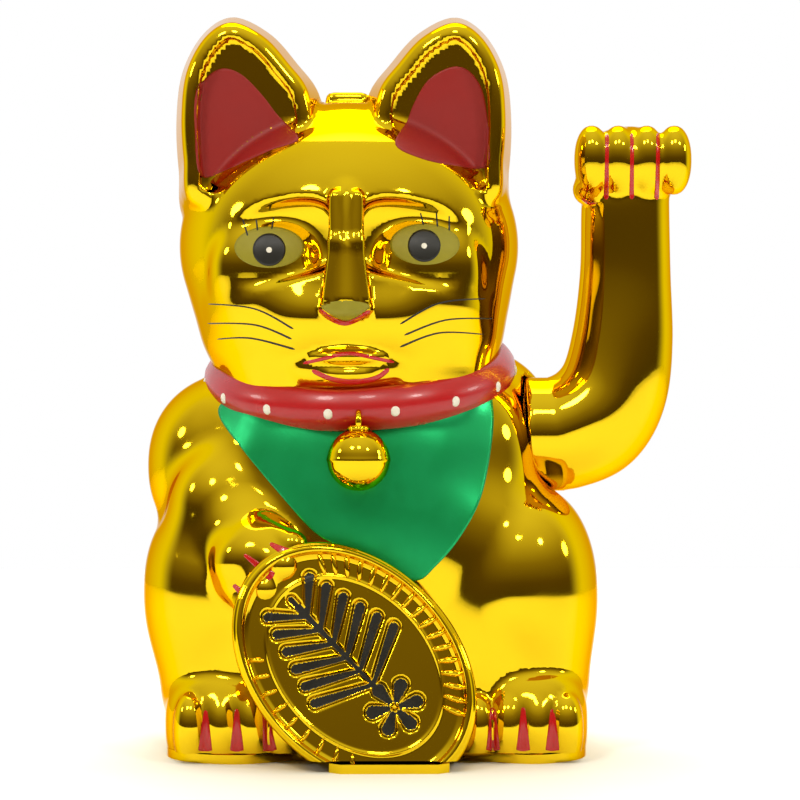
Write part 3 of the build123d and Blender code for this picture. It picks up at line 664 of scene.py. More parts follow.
class SkinGrid:
    """The skin sampled on an even grid, for its mesh and for finding its face from the front."""

    def __init__(self, skin: Skin, low: Point, high: Point, pitch: float) -> None:
        """Sample the skin.

        Args:
            skin: The skin.
            low: The lowest corner of the grid.
            high: The highest corner that it has to reach.
            pitch: The distance between its points.
        """
        self.skin, self.low, self.pitch = skin, np.array(low), pitch
        counts = np.ceil((np.array(high) - self.low) / pitch).astype(int) + 1
        axes = [self.low[i] + np.arange(counts[i]) * pitch for i in range(3)]
        self.field = np.empty(tuple(counts))
        for i, x in enumerate(axes[0]):
            y, z = np.meshgrid(axes[1], axes[2], indexing="ij")
            p = np.stack([np.full(y.size, x), y.ravel(), z.ravel()], 1)
            self.field[i] = skin.value(p).reshape(y.shape)

    def net(self) -> tuple[np.ndarray, np.ndarray]:
        """Wrap the skin in a net of quads.

        Returns:
            Its points, and its faces with four points each, in outward order.
        """
        f = self.field
        cells = tuple(n - 1 for n in f.shape)
        total, count = np.zeros(cells + (3,)), np.zeros(cells)
        where = np.indices(cells).astype(float)
        crossings = []
        for axis in range(3):
            first = np.take(f, range(f.shape[axis] - 1), axis)
            second = np.take(f, range(1, f.shape[axis]), axis)
            cross = (first < 0) != (second < 0)
            share = np.where(cross, first / np.where(cross, first - second, 1), 0)
            crossings.append((cross, first < 0))
            u, v = (axis + 1) % 3, (axis + 2) % 3
            for du in (0, 1):
                for dv in (0, 1):
                    window: list[slice] = [slice(None)] * 3
                    window[u] = slice(du, du + cells[u])
                    window[v] = slice(dv, dv + cells[v])
                    hit, part = cross[tuple(window)], share[tuple(window)]
                    count += hit
                    total[..., axis] += hit * (where[axis] + part)
                    total[..., u] += hit * (where[u] + du)
                    total[..., v] += hit * (where[v] + dv)
        used = count > 0
        number = np.full(cells, -1)
        number[used] = np.arange(int(used.sum()))
        points = total[used] / count[used][:, None] * self.pitch + self.low
        faces = []
        for axis in range(3):
            cross, starts_inside = crossings[axis]
            u, v = (axis + 1) % 3, (axis + 2) % 3
            at = np.stack(np.nonzero(cross), 1)
            at = at[(at[:, u] > 0) & (at[:, v] > 0) & (at[:, u] < cells[u]) & (at[:, v] < cells[v])]
            corners = []
            for du, dv in ((1, 1), (0, 1), (0, 0), (1, 0)):
                cell = at.copy()
                cell[:, u] -= du
                cell[:, v] -= dv
                corners.append(number[cell[:, 0], cell[:, 1], cell[:, 2]])
            quads = np.stack(corners, 1)
            ahead = starts_inside[at[:, 0], at[:, 1], at[:, 2]]
            faces.append(np.where(ahead[:, None], quads, quads[:, ::-1]))
        return points, np.concatenate(faces)

    def front_of(self, flat: np.ndarray) -> np.ndarray:
        """Find where lines along Y first meet the skin from the front.

        Args:
            flat: X and Z of the lines, one row each.

        Returns:
            The points on the skin.
        """
        place = (flat - self.low[[0, 2]]) / self.pitch
        cell = np.clip(place.astype(int), 0, np.array([self.field.shape[0], self.field.shape[2]]) - 2)
        share = np.clip(place - cell, 0, 1)
        column = np.zeros((len(flat), self.field.shape[1]))
        for dx in (0, 1):
            for dz in (0, 1):
                weight = (share[:, 0] if dx else 1 - share[:, 0]) * (share[:, 1] if dz else 1 - share[:, 1])
                column += weight[:, None] * self.field[cell[:, 0] + dx, :, cell[:, 1] + dz]
        inside = column < 0
        first = np.maximum(inside.argmax(1), 1)
        line = np.arange(len(flat))
        before, after = column[line, first - 1], column[line, first]
        y = self.low[1] + (first - 1 + before / np.where(before == after, 1, before - after)) * self.pitch
        return np.stack([flat[:, 0], np.where(inside.any(1), y, 0.0), flat[:, 1]], 1)


@dataclass
class Moulding:
    """A thin-walled moulding cut from a skin on the seam at Y = 0, with square edges where the wall ends.

    Attributes:
        name: The piece's name.
        node: The CAD node that it stands for.
        body: The CAD body that it rides on.
        wall: How thick the wall is.
        front: Whether it is the front half.
        floor: The height that it is cut off at, if it stands open below.
        holes: The axis (0 for X, 1 for Y), centre and radius of each hole.
        snap: How near a point has to be to count as lying in a cutting plane when the net is cut.
        near_cut: How near it has to be to be held there while the others settle.
    """

    name: str
    node: str
    body: str
    wall: float
    front: bool
    floor: float | None = None
    holes: tuple[tuple[int, Point, float], ...] = ()
    snap: float = 0.08
    near_cut: float = 0.1

    def build(self, skin: Skin, points: np.ndarray, faces: np.ndarray) -> bpy.types.Object:
        """Cut the skin's net on the seam, give it a wall and dress it.

        Args:
            skin: The skin that the net wraps.
            points: The net's points.
            faces: The net's faces.

        Returns:
            The moulding, which stands for its CAD node.
        """
        points, faces = self.half(points, faces)
        points, normals = self.onto(skin, points)
        points, loops = self.drill(points, faces)
        return self.walled(points, normals, loops)

    def half(self, points: np.ndarray, faces: np.ndarray) -> tuple[np.ndarray, list[list[int]]]:
        """Keep the net's part on this side of the seam and above the floor.

        Args:
            points: The net's points.
            faces: The net's faces.

        Returns:
            The points and faces that are left.
        """
        mesh = bmesh.new()
        made = [mesh.verts.new(p) for p in points]
        for f in faces:
            mesh.faces.new([made[i] for i in f])
        cuts = [((0, 0, 0), (0, 1 if self.front else -1, 0))]
        if self.floor is not None:
            cuts.append(((0, 0, self.floor), (0, 0, -1)))
        for place, way in cuts:
            everything = list(mesh.verts) + list(mesh.edges) + list(mesh.faces)
            bmesh.ops.bisect_plane(mesh, geom=everything, dist=self.snap, plane_co=place, plane_no=way,
                                   clear_outer=True)
        loose = [v for v in mesh.verts if not v.link_faces]
        bmesh.ops.delete(mesh, geom=loose, context="VERTS")
        mesh.verts.index_update()
        out = (rows(v.co for v in mesh.verts), [[v.index for v in f.verts] for f in mesh.faces])
        mesh.free()
        return out

    def onto(self, skin: Skin, points: np.ndarray) -> tuple[np.ndarray, np.ndarray]:
        """Settle the points on the skin while edge points stay in their cutting planes.

        Args:
            skin: The skin.
            points: The cut net's points.

        Returns:
            The settled points and their unit normals.
        """
        seam = np.abs(points[:, 1]) < self.near_cut
        low = np.zeros(len(points), dtype=bool)
        if self.floor is not None:
            low = np.abs(points[:, 2] - self.floor) < self.near_cut
        for _ in range(3):
            points, _ = skin.settle(points, 1, 0.6)
            points[seam, 1] = 0.0
            if self.floor is not None:
                points[low, 2] = self.floor
        _, normals = skin.settle(points, 0, 0.0)
        return points, normals

    def drill(self, points: np.ndarray, faces: list[list[int]]) -> tuple[np.ndarray, list[list[int]]]:
        """Open the moulding's holes, and round their edges to their circles.

        Args:
            points: The settled points.
            faces: The faces of the sheet.

        Returns:
            The points, and the faces that are left.
        """
        wall_reach, spare = 4.0, 0.4
        for axis, centre, radius in self.holes:
            across = [i for i in range(3) if i != axis]
            away = points[:, across] - np.array(centre)[across]
            near = np.abs(points[:, axis] - centre[axis]) < wall_reach
            gone = near & (np.linalg.norm(away, axis=1) < radius + spare)
            kept = [f for f in faces if not any(gone[i] for i in f)]
            edge = {i for f in faces if any(gone[i] for i in f) for i in f if not gone[i]}
            for i in edge:
                if near[i] and abs(points[i, 1]) > 0.05:
                    points[i, across] = np.array(centre)[across] + away[i] / np.linalg.norm(away[i]) * radius
            faces = kept
        return points, faces

    def walled(self, points: np.ndarray, normals: np.ndarray, faces: list[list[int]]) -> bpy.types.Object:
        """Give the sheet a wall inwards, closed at its edges.

        Args:
            points: The sheet's points.
            normals: Their unit normals.
            faces: The sheet's faces.

        Returns:
            The moulding.
        """
        used = sorted({i for f in faces for i in f})
        number = {old: new for new, old in enumerate(used)}
        faces = [[number[i] for i in f] for f in faces]
        points, normals = points[used], normals[used]
        sides = dict.fromkeys((a, b) for f in faces for a, b in zip(f, f[1:] + f[:1]))
        edge = [(a, b) for a, b in sides if (b, a) not in sides]
        inward = normals.copy()
        seam = np.abs(points[:, 1]) < 1e-6
        inward[seam, 1] = 0.0
        if self.floor is not None:
            inward[np.abs(points[:, 2] - self.floor) < 1e-6, 2] = 0.0
        inward /= np.maximum(np.linalg.norm(inward, axis=1), 0.3)[:, None]
        inner = points - inward * self.wall
        inner[:, 1] = np.minimum(inner[:, 1], 0) if self.front else np.maximum(inner[:, 1], 0)
        n = len(points)
        backs = [[i + n for i in reversed(f)] for f in faces]
        rims = [[b, a, a + n, b + n] for a, b in edge]
        both = np.concatenate([points, inner])
        corner = [normals[i] for f in faces for i in f] + [-normals[i - n] for f in backs for i in f]
        for f in rims:
            q = both[f]
            flat = np.cross(q[2] - q[0], q[3] - q[1])
            flat = flat / max(float(np.linalg.norm(flat)), 1e-12)
            corner += [flat] * 4
        piece = make_object(self.name, both, faces + backs + rims, [GOLD], self.body,
                            normals=np.array(corner))
        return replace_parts(piece, self.node)


# ------------------------------------------------------------------ the body
@dataclass
class BodyForm:
    """The cat's body and head: its rounded masses, face, paws, feet and tail.

    Each mass has a centre, half widths, a power and the fillet that joins it to those before it.
    """

    masses: tuple[tuple[Point, Point, float, float], ...] = (
        ((2, -3, 34), (49, 37, 46), 4.0, 0.0),
        ((-1, -4, 66), (43, 36, 44), 2.6, 6.0),
        ((0, -2.5, 98), (35.5, 35.5, 15), 3.0, 3.0),
        ((-36, -10, 44), (22.6, 29, 27), 2.3, 2.0),
        ((42, -10, 45), (21.8, 29, 28), 2.3, 2.0),
        ((-30, 0, 30), (25, 37, 34), 3.0, 6.0),
        ((38, 0, 30), (25, 37, 34), 3.0, 6.0),
        ((-33.5, -22, 9), (18.7, 21.5, 17), 2.6, 1.6),
        ((45, -22, 9), (16, 21.5, 17), 2.6, 1.6),
        ((-31, 0, 77), (27.2, 25, 26), 2.2, 5.0),
        ((-37, -22, 66), (14, 15, 17), 2.0, 5.0),
        ((-30, -30, 59), (12, 13, 12), 2.0, 4.0),
        ((25, 13, 84), (29, 24, 26), 2.4, 5.0),
        ((29, -8, 76), (19, 20, 27), 2.2, 7.0),
        ((-3, -2, 137), (46.4, 42, 39.6), 2.0, 3.0),
        ((-2, -2, 117), (41.5, 39, 22), 2.6, 6.0),
    )
    face_x: float = -3.6
    eye_x: float = 20.5
    eye_z: float = 136.0
    pocket: Barrel = Barrel(44.5, 84.5, 0.0, 85.5, 16.4)
    ear_middle_x: float = -4.4
    ear_outline: tuple[Flat, ...] = (
        (5, 162), (6.5, 178), (13, 187.5), (20.5, 195.6), (30.4, 200), (38.5, 195.5), (44.3, 185), (46, 172),
        (45.4, 158), (43, 144), (24, 140), (8, 148))
    left_toes: tuple[float, ...] = (-44.6, -36.4, -28.2, -20.2)
    right_toes: tuple[float, ...] = (30.9, 38.9, 46.7, 54.3)
    toe: Mass = Mass((0.0, -37.5, 8.5), (4.7, 7.2, 10.0), 2.3)
    fist: Mass = Mass((-27.5, -40.5, 53.0), (11.5, 10.5, 11.0), 2.0, 30.0)
    fingers: tuple[tuple[Point, Point, float], ...] = (
        ((-25, -40, 60.5), (-17.8, -47.6, 57.7), 4.6),
        ((-28, -42, 58.0), (-20.2, -49.4, 52.4), 4.9),
        ((-31, -42, 52.5), (-24.6, -49.6, 46.5), 4.7),
        ((-33, -40, 47.5), (-29.6, -47.0, 42.4), 4.0))
    crown_bridge: Mass = Mass((-3.45, 4.6, 172.6), (6.05, 4.6, 7.0), 7.0)
    tail_route: tuple[Point, ...] = ((34, 30, 12), (24, 33, 20), (8, 35.5, 24), (-6, 34.5, 34), (-8, 33, 48))
    tail_r: float = 6.0

    def skin(self) -> Skin:
        """Gather the whole body's skin.

        Returns:
            The skin, before it is cut into two mouldings.
        """
        skin = Skin(probe=0.45)
        for centre, radii, power, blend in self.masses:
            skin.add(Mass(centre, radii, power), blend)
        self.face(skin)
        for side in (-1, 1):
            skin.add(Ear(self.ear_middle_x, side, self.ear_outline), 1.6)
        skin.add(self.crown_bridge, 0.8)
        self.paws(skin)
        tail = smooth_line(self.tail_route, 5, False)
        for start, end in zip(tail, tail[1:]):
            skin.add(Limb(tuple(start), tuple(end), self.tail_r, self.tail_r), 1.0)
        skin.cut(self.pocket, 0.8)
        return skin

    def face(self, skin: Skin) -> None:
        """Model brows, eyes, nose, whisker pads and mouth.

        Args:
            skin: The skin that gets them.
        """
        fx = self.face_x
        for side in (-1, 1):
            x = fx + side * self.eye_x
            cheek = Mass((x - side * 1.0, -24, 121), (15.5, 16.5, 13))
            socket = Mass((x - side * 2.0, -41, self.eye_z + 1.2), (16.8, 8.0, 10.6), 3.2, -side * 9.0)
            eyeball = Mass((x - side * 0.5, -26.5, self.eye_z - 6.0), (16.5, 12.4, 15.0), 2.2)
            whisker_pad = Mass((fx + side * 8.6, -33.5, 117.0), (12.5, 11.6, 11.0))
            skin.add(cheek, 5.0)
            skin.cut(socket, 2.2)
            skin.add(eyeball, 2.0)
            skin.add(whisker_pad, 5.0)
        self.nose(skin)
        upper_muzzle = Mass((fx + 0.3, -35.5, 103.6), (15, 8.6, 6.4))
        mouth_gap = Mass((fx + 0.3, -46.2, 104.9), (12.5, 3.6, 2.5))
        upper_lip = Mass((fx + 0.3, -40.4, 106.9), (10.5, 4.8, 2.6))
        lower_lip = Mass((fx + 0.4, -39.4, 102.4), (9.2, 4.6, 2.5))
        skin.add(upper_muzzle, 3.0)
        skin.cut(mouth_gap, 1.2)
        skin.add(upper_lip, 1.4)
        skin.add(lower_lip, 1.2)

    def nose(self, skin: Skin) -> None:
        """Model the bridge with its two edges, the tip and the nostrils.

        Args:
            skin: The skin that gets them.
        """
        fx = self.face_x
        skin.add(Limb((fx, -39.5, 149), (fx, -43.8, 122), 3.4, 4.6), 2.5)
        for side in (-1, 1):
            skin.add(Limb((fx + side * 2.9, -43.0, 149.0), (fx + side * 2.6, -44.6, 137), 1.7, 2.0), 1.6)
            skin.add(Limb((fx + side * 2.6, -44.6, 137), (fx + side * 4.2, -45.6, 122), 2.0, 2.3), 1.6)
        skin.add(Limb((fx, -44.0, 136), (fx, -46.2, 122), 2.4, 3.4), 2.0)
        skin.cut(Limb((fx, -47.0, 152), (fx, -47.2, 138), 1.5, 0.7), 1.2)
        skin.add(Mass((fx, -44.6, 119.4), (7.0, 4.6, 2.9), 2.2), 1.0)
        for side in (-1, 1):
            skin.cut(Mass((fx + side * 4.6, -47.8, 115.6), (2.2, 2.2, 1.2)), 0.8)

    def paws(self, skin: Skin) -> None:
        """Model the toes of both feet and the fingers that hold the coin.

        Args:
            skin: The skin that gets them.
        """
        for x in self.left_toes + self.right_toes:
            skin.add(replace(self.toe, centre=(x,) + self.toe.centre[1:]), 1.0)
        skin.add(self.fist, 4.0)
        for start, end, r in self.fingers:
            skin.add(Limb(start, end, r, r - 0.3), 2.4)


@dataclass
class BodyShells:
    """The two gold body mouldings."""

    pitch: float = 1.25
    low: Point = (-64.0, -56.0, -1.6)
    high: Point = (70.0, 46.0, 203.0)
    wall: float = 1.7
    floor: float = 2.9
    shaft_hole: tuple[tuple[int, Point, float], ...] = ((0, (44.5, 0.0, 85.5), 3.6),)

    def build(self) -> SkinGrid:
        """Make both mouldings.

        Returns:
            The grid that the paint follows.
        """
        grid = SkinGrid(BodyForm().skin(), self.low, self.high, self.pitch)
        points, faces = grid.net()
        LOG.info("body net: %d faces", len(faces))
        for front in (True, False):
            name = "front_shell_moulding" if front else "back_shell_moulding"
            node = "front_shell" if front else "back_shell"
            Moulding(name, node, "housing", self.wall, front, self.floor, self.shaft_hole).build(
                grid.skin, points, faces)
            LOG.info("made %s", name)
        return grid


# ------------------------------------------------------------------ the waving arm
@dataclass
class WavingArm:
    """The raised arm with its paw, in two mouldings.

    Each station of its middle line has an X, a Z and a radius.
    """

    stations: tuple[tuple[float, float, float], ...] = (
        (56.0, 85.8, 15.6), (64.0, 89.6, 16.0), (69.6, 98.0, 15.0), (72.2, 111.5, 13.8), (73.0, 129.5, 12.4),
        (73.0, 148.0, 12.0), (73.6, 156.0, 11.4))
    inner_x: float = 45.2
    axle_z: float = 85.5
    root_r: float = 15.6
    finger_x: tuple[float, ...] = (63.1, 70.3, 78.1, 85.6)
    pitch: float = 1.0
    wall: float = 1.5
    screws: tuple[Flat, ...] = ((73.0, 124.0), (70.0, 97.0))
    screw_well_r: float = 2.9
    screw_well_y: float = 12.0
    well_profile: tuple[Flat, ...] = (
        (1.4, 3.6), (4.3, 3.6), (4.3, 10.6), (2.9, 10.6), (2.9, 5.0), (1.4, 5.0))
    hub_r: float = 6.05
    line_x: tuple[float, ...] = (67.0, 73.8, 80.8)
    line_z: Point = (167.5, 158.0, 149.6)
    thumb_line: tuple[Flat, ...] = ((60.6, 149.8), (62.6, 148.6), (64.4, 148.9))

    def skin(self) -> Skin:
        """Gather the arm's skin.

        Returns:
            The skin, before it is cut into two mouldings.
        """
        skin = Skin(probe=1.1)
        skin.add(Barrel(self.inner_x, 57.0, 0.0, self.axle_z, self.root_r), 0.0)
        line = smooth_line(self.stations, 9, False)
        for (x0, z0, r0), (x1, z1, r1) in zip(line, line[1:]):
            skin.add(Limb((x0, 0, z0), (x1, 0, z1), r0, r1), 0.25)
        paw = Mass((74, -2, 159), (15, 12.5, 11))
        thumb = Mass((62.4, -5.0, 152.6), (4.2, 6.0, 4.4))
        flat_root = Mass((self.inner_x - 20, 0, self.axle_z), (20, 60, 60), 12.0)
        skin.add(paw, 1.4)
        for x in self.finger_x:
            skin.add(Mass((x, -8.4, 160.4), (4.7, 7.2, 9.4), 2.2), 1.6)
        skin.add(thumb, 1.2)
        skin.cut(flat_root, 0.8)
        return skin

    def build(self) -> None:
        """Make both arm mouldings and their screw wells, and paint the paw."""
        grid = SkinGrid(self.skin(), (43.0, -20.0, 66.0), (93.0, 20.0, 173.0), self.pitch)
        points, faces = grid.net()
        hub = (0, (self.inner_x, 0.0, self.axle_z), self.hub_r)
        wells = tuple((1, (x, self.screw_well_y, z), self.screw_well_r) for x, z in self.screws)
        for front in (True, False):
            name = "arm_front_moulding" if front else "arm_rear_moulding"
            node = "arm_front_half" if front else "arm_rear_half"
            holes = (hub,) if front else (hub,) + wells
            Moulding(name, node, "waving_arm", self.wall, front, None, holes).build(grid.skin, points, faces)
        self.build_wells()
        self.paint(grid)
        LOG.info("made and painted the waving arm")

    def build_wells(self) -> bpy.types.Object:
        """Make the two wells that the arm's screws sit in.

        Returns:
            Both wells as one piece.
        """
        ring, loops = spun(self.well_profile, 32)
        points, faces = gathered([(laid_level(ring, x, z), loops) for x, z in self.screws])
        return make_object("arm_screw_wells", points, faces, [GOLD], "waving_arm", smooth=False)

    def paint(self, grid: SkinGrid) -> None:
        """Draw the red lines between the fingers and beside the thumb.

        Args:
            grid: The arm's grid.
        """
        top, middle, low = self.line_z
        lines = [([(x, top), (x - 0.2, middle), (x, low)], 0.9, 1.3) for x in self.line_x]
        lines.append((self.thumb_line, 0.5, 0.6))
        Paint(grid, "waving_arm").strokes("finger_lines", lines, RED_LINE, 0.14)


# ------------------------------------------------------------------ paint
@dataclass
class Paint:
    """Thin enamel laid on a skin: filled patches and brushed strokes."""

    grid: SkinGrid
    body: str
    lift: float = 0.1
    bite: float = 0.15
    stroke_bite: float = 0.12

    def laid(self, flat: np.ndarray, lift: float) -> np.ndarray:
        """Lay flat points on the skin.

        Args:
            flat: X and Z of the points.
            lift: How far they stand off the skin.

        Returns:
            The points in their place.
        """
        p = self.grid.front_of(flat)
        settled, _ = self.grid.skin.settle(p, 2, 0.5)
        p[:, 1] = settled[:, 1]
        _, normals = self.grid.skin.settle(p, 0, 0.0)
        return p + normals * lift

    def patch(self, name: str, outline: Sequence[Flat], finish: Finish, pitch: float = 0.9,
              lift: float | None = None, rounded: int = 8) -> bpy.types.Object:
        """Fill an outline with paint.

        Args:
            name: The piece's name.
            outline: X and Z of the outline's points.
            finish: The paint.
            pitch: The size of its facets.
            lift: How proud it stands, if not the usual.
            rounded: Steps between the outline's points.

        Returns:
            The patch.
        """
        edge = smooth_line(outline, rounded, True)
        if self.winding(edge) < 0:
            edge = edge[::-1]
        middle = edge.mean(0)
        rings = max(3, int(np.linalg.norm(edge - middle, axis=1).max() / pitch))
        flat = [middle]
        for ring in range(1, rings + 1):
            flat.extend(middle + (edge - middle) * ring / rings)
        n = len(edge)
        rim = list(range(1 + (rings - 1) * n, 1 + rings * n))
        proud = self.lift if lift is None else lift
        return self.solid(name, rows(flat), disc_faces(rings, n), finish, proud, rim)

    @staticmethod
    def winding(edge: np.ndarray) -> float:
        """Give the loop's signed area."""
        nxt = np.roll(edge, -1, axis=0)
        return float((edge[:, 0] * nxt[:, 1] - nxt[:, 0] * edge[:, 1]).sum())

    def solid(self, name: str, flat: np.ndarray, faces: list[list[int]], finish: Finish, lift: float,
              rim: list[int]) -> bpy.types.Object:
        """Lay a sheet of paint with its edge turned down into the skin.

        Args:
            name: The piece's name.
            flat: X and Z of the sheet's points.
            faces: The sheet's faces.
            finish: The paint.
            lift: How proud it stands.
            rim: The numbers of the points round its edge, in order.

        Returns:
            The sheet.
        """
        points = self.laid(flat, lift)
        down = self.laid(flat[rim], -self.bite)
        start = len(points)
        count = len(rim)
        skirt = [[rim[i], start + i, start + (i + 1) % count, rim[(i + 1) % count]] for i in range(count)]
        return make_object(name, np.concatenate([points, down]), faces + skirt, [finish], self.body)

    def strokes(self, name: str, lines: Sequence[tuple[Sequence[Flat], float, float]], finish: Finish,
                lift: float | None = None) -> bpy.types.Object:
        """Draw brushed lines.

        Args:
            name: The piece's name.
            lines: For each line its points, its width at the start and at the end.
            finish: The paint.
            lift: How proud they stand, if not the usual.

        Returns:
            All the lines as one piece.
        """
        points, faces, count = [], [], 0
        across = np.array([-1, -0.5, 0, 0.5, 1])
        for route, start_w, end_w in lines:
            line = smooth_line(route, 10, False)
            along = np.gradient(line, axis=0)
            side = np.stack([along[:, 1], -along[:, 0]], 1)
            side /= np.linalg.norm(side, axis=1)[:, None]
            t = np.linspace(0, 1, len(line))
            width = start_w + (end_w - start_w) * t
            width *= np.clip(np.minimum(t, 1 - t) * 14 + 0.25, 0, 1)
            flat = line[:, None, :] + side[:, None, :] * across[None, :, None] * width[:, None, None] / 2
            laid = self.laid(flat.reshape(-1, 2), self.lift if lift is None else lift)
            laid = laid.reshape(len(line), len(across), 3)
            low = self.laid(flat[:, [0, -1]].reshape(-1, 2), -self.stroke_bite).reshape(len(line), 2, 3)
            strip = np.concatenate([low[:, :1], laid, low[:, 1:]], axis=1)
            wide = strip.shape[1]
            for i in range(len(line) - 1):
                for j in range(wide - 1):
                    a = count + i * wide + j
                    faces.append([a, a + 1, a + wide + 1, a + wide])
            points.append(strip.reshape(-1, 3))
            count += len(line) * wide
        everything = np.concatenate(points)
        if self.facing_back(everything, faces):
            faces = [f[::-1] for f in faces]
        return make_object(name, everything, faces, [finish], self.body)

    @staticmethod
    def facing_back(points: np.ndarray, faces: list[list[int]]) -> bool:
        """Tell whether most faces look away from the front."""
        q = points[np.array(faces)]
        return float(np.cross(q[:, 2] - q[:, 0], q[:, 3] - q[:, 1])[:, 1].sum()) > 0


def oval(x: float, z: float, rx: float, rz: float, count: int = 16) -> list[Flat]:
    """Give an upright oval's points."""
    turns = [2 * math.pi * i / count for i in range(count)]
    return [(x + rx * math.cos(a), z + rz * math.sin(a)) for a in turns]


@dataclass
class FacePaint:
    """The painted eyes, lashes, whiskers, nose and mouth; the olive on the nose tip is a painted reflection,
    and on the eyes partly one.
    """

    eyes: tuple[Flat, ...] = ((-23.9, 135.8), (17.1, 136.6))
    eye_half: Flat = (9.2, 5.5)
    pupils: tuple[Flat, ...] = ((-23.9, 135.1), (16.9, 136.2))
    pupil_r: float = 4.3
    glint_r: float = 0.75
    whiskers: tuple[tuple[Flat, ...], ...] = (
        ((-40.5, 121.0), (-27.6, 119.5), (-17.4, 114.2)), ((-40.8, 115.8), (-27.6, 115.3), (-17.9, 111.6)),
        ((-38.1, 111.6), (-28.7, 111.8), (-17.1, 108.9)), ((33.4, 122.4), (20.8, 121.0), (10.5, 115.5)),
        ((35.5, 117.1), (22.6, 116.6), (11.6, 112.6)), ((32.9, 112.9), (20.8, 113.2), (10.5, 109.5)))
    lashes: tuple[tuple[Flat, ...], ...] = (
        ((-31.0, 143.3), (-29.6, 138.8)), ((-27.5, 143.6), (-27.0, 140.2)), ((-22.8, 143.8), (-23.3, 140.6)),
        ((16.0, 145.0), (16.8, 141.7)), ((20.2, 145.0), (20.5, 141.2)), ((23.6, 144.2), (23.6, 140.2)))
    nose: tuple[Flat, ...] = (
        (-10.2, 120.4), (-3.7, 121.6), (2.6, 120.4), (-0.6, 117.6), (-3.7, 116.4), (-6.9, 117.6))
    under_nose: tuple[Flat, ...] = ((-10.6, 119.3), (-7.4, 116.7), (-3.9, 115.6), (-0.5, 116.8), (2.6, 119.0))
    mouth: tuple[Flat, ...] = ((-14.9, 105.2), (-8.9, 106.6), (-3.1, 107.8), (2.0, 107.0), (8.9, 105.5))
    lip: tuple[Flat, ...] = ((-12.6, 103.4), (-7.6, 101.2), (-1.8, 100.4), (4.2, 101.4), (7.6, 103.8))

    def build(self, paint: Paint) -> None:
        """Paint the face.

        Args:
            paint: The paint on the body's skin.
        """
        # Olive eye patches: partly the eyes' own paint, partly a painted reflection of the flat eye faces.
        for i, (x, z) in enumerate(self.eyes):
            paint.patch(f"eye_paint_and_reflection_{i + 1}", oval(x, z, *self.eye_half), OLIVE_PAINT_AND_REFLECTION, 0.7, 0.08)
        for i, (x, z) in enumerate(self.pupils):
            paint.patch(f"pupil_{i + 1}", oval(x, z, self.pupil_r, self.pupil_r), BLACK_LINE, 0.6, 0.16)
            glint = oval(x, z - 0.1, self.glint_r, self.glint_r, 8)
            paint.patch(f"glint_{i + 1}", glint, WHITE_DOT, 0.4, 0.22)
        paint.strokes("eyelashes", [(line, 0.35, 0.5) for line in self.lashes], BLACK_LINE)
        paint.strokes("whiskers", [(line, 0.3, 0.5) for line in self.whiskers], BLACK_LINE, 0.08)
        # Olive patch on the nose tip: a painted reflection of its flat face, laid as paint.
        paint.patch("nose_tip_painted_reflection", self.nose, OLIVE_PAINT_AND_REFLECTION, 0.6, 0.08, 4)
        paint.strokes("nose_line", [(self.under_nose, 1.0, 1.0)], RED_LINE, 0.16)
        paint.strokes("mouth_line", [(self.mouth, 0.9, 0.9)], RED_LINE, 0.14)
        paint.strokes("lip_line", [(self.lip, 1.2, 1.2)], RED_LINE, 0.1)


@dataclass
class BodyPaint:
    """The green bib, the red ears and the red claws."""

    bib: tuple[Flat, ...] = (
        (-37.0, 94.5), (-37.6, 90.6), (-31.5, 82.7), (-22.3, 72.0), (-12.1, 60.9), (-4.2, 56.6), (3.9, 52.1),
        (14.3, 48.0), (19.9, 51.8), (26.4, 59.4), (32.0, 69.7), (34.9, 82.6), (35.6, 93.0), (33.0, 97.5),
        (18.0, 94.5), (-2.0, 91.5), (-22.0, 93.5), (-32.0, 96.0))
    left_ear: tuple[Flat, ...] = (
        (-42.7, 155.4), (-44.0, 167.7), (-44.1, 174.7), (-42.7, 179.8), (-39.2, 183.3), (-35.4, 184.1),
        (-30.9, 181.9), (-25.8, 176.6), (-22.3, 172.0), (-17.2, 166.6), (-17.0, 164.0), (-23.3, 162.0),
        (-30.5, 159.0), (-35.6, 157.0))
    right_ear: tuple[Flat, ...] = (
        (9.4, 163.2), (12.6, 170.0), (14.4, 174.7), (17.9, 180.7), (22.5, 183.9), (26.6, 184.7),
        (30.1, 182.8), (32.8, 178.4), (34.2, 171.2), (34.4, 164.0), (33.8, 157.8), (25.9, 157.8),
        (16.6, 159.4))
    paw_claws: tuple[tuple[Flat, Flat], ...] = (
        ((-23.4, 58.4), (-18.2, 55.8)), ((-30.1, 55.6), (-22.6, 49.8)), ((-33.0, 47.6), (-28.6, 43.7)))
    toe_claws: tuple[tuple[Flat, Flat], ...] = (
        ((34.9, 14.6), (34.9, 3.4)), ((42.8, 14.9), (42.8, 3.4)), ((50.5, 14.4), (50.5, 3.4)),
        ((-40.5, 14.2), (-40.6, 3.4)), ((-32.3, 14.6), (-32.3, 3.4)), ((-25.0, 14.2), (-23.6, 3.4)))

    @staticmethod
    def claw(ends: tuple[Flat, Flat], start_w: float, end_w: float) -> tuple[list[Flat], float, float]:
        """Give a claw's line: its two ends with the point halfway, and its widths."""
        (x0, z0), (x1, z1) = ends
        return [(x0, z0), ((x0 + x1) / 2, (z0 + z1) / 2), (x1, z1)], start_w, end_w

    def build(self, paint: Paint) -> None:
        """Paint the body.

        Args:
            paint: The paint on the body's skin.
        """
        paint.patch("bib_lacquer", self.bib, GREEN, 0.9, 0.12, 6)
        paint.patch("left_ear_paint", self.left_ear, RED_MATT, 0.8, 0.12, 6)
        paint.patch("right_ear_paint", self.right_ear, RED_MATT, 0.8, 0.12, 6)
        claws = [self.claw(ends, 0.8, 2.8) for ends in self.paw_claws]
        claws += [self.claw(ends, 0.9, 3.8) for ends in self.toe_claws]
        paint.strokes("claw_lines", claws, RED_LINE, 0.14)


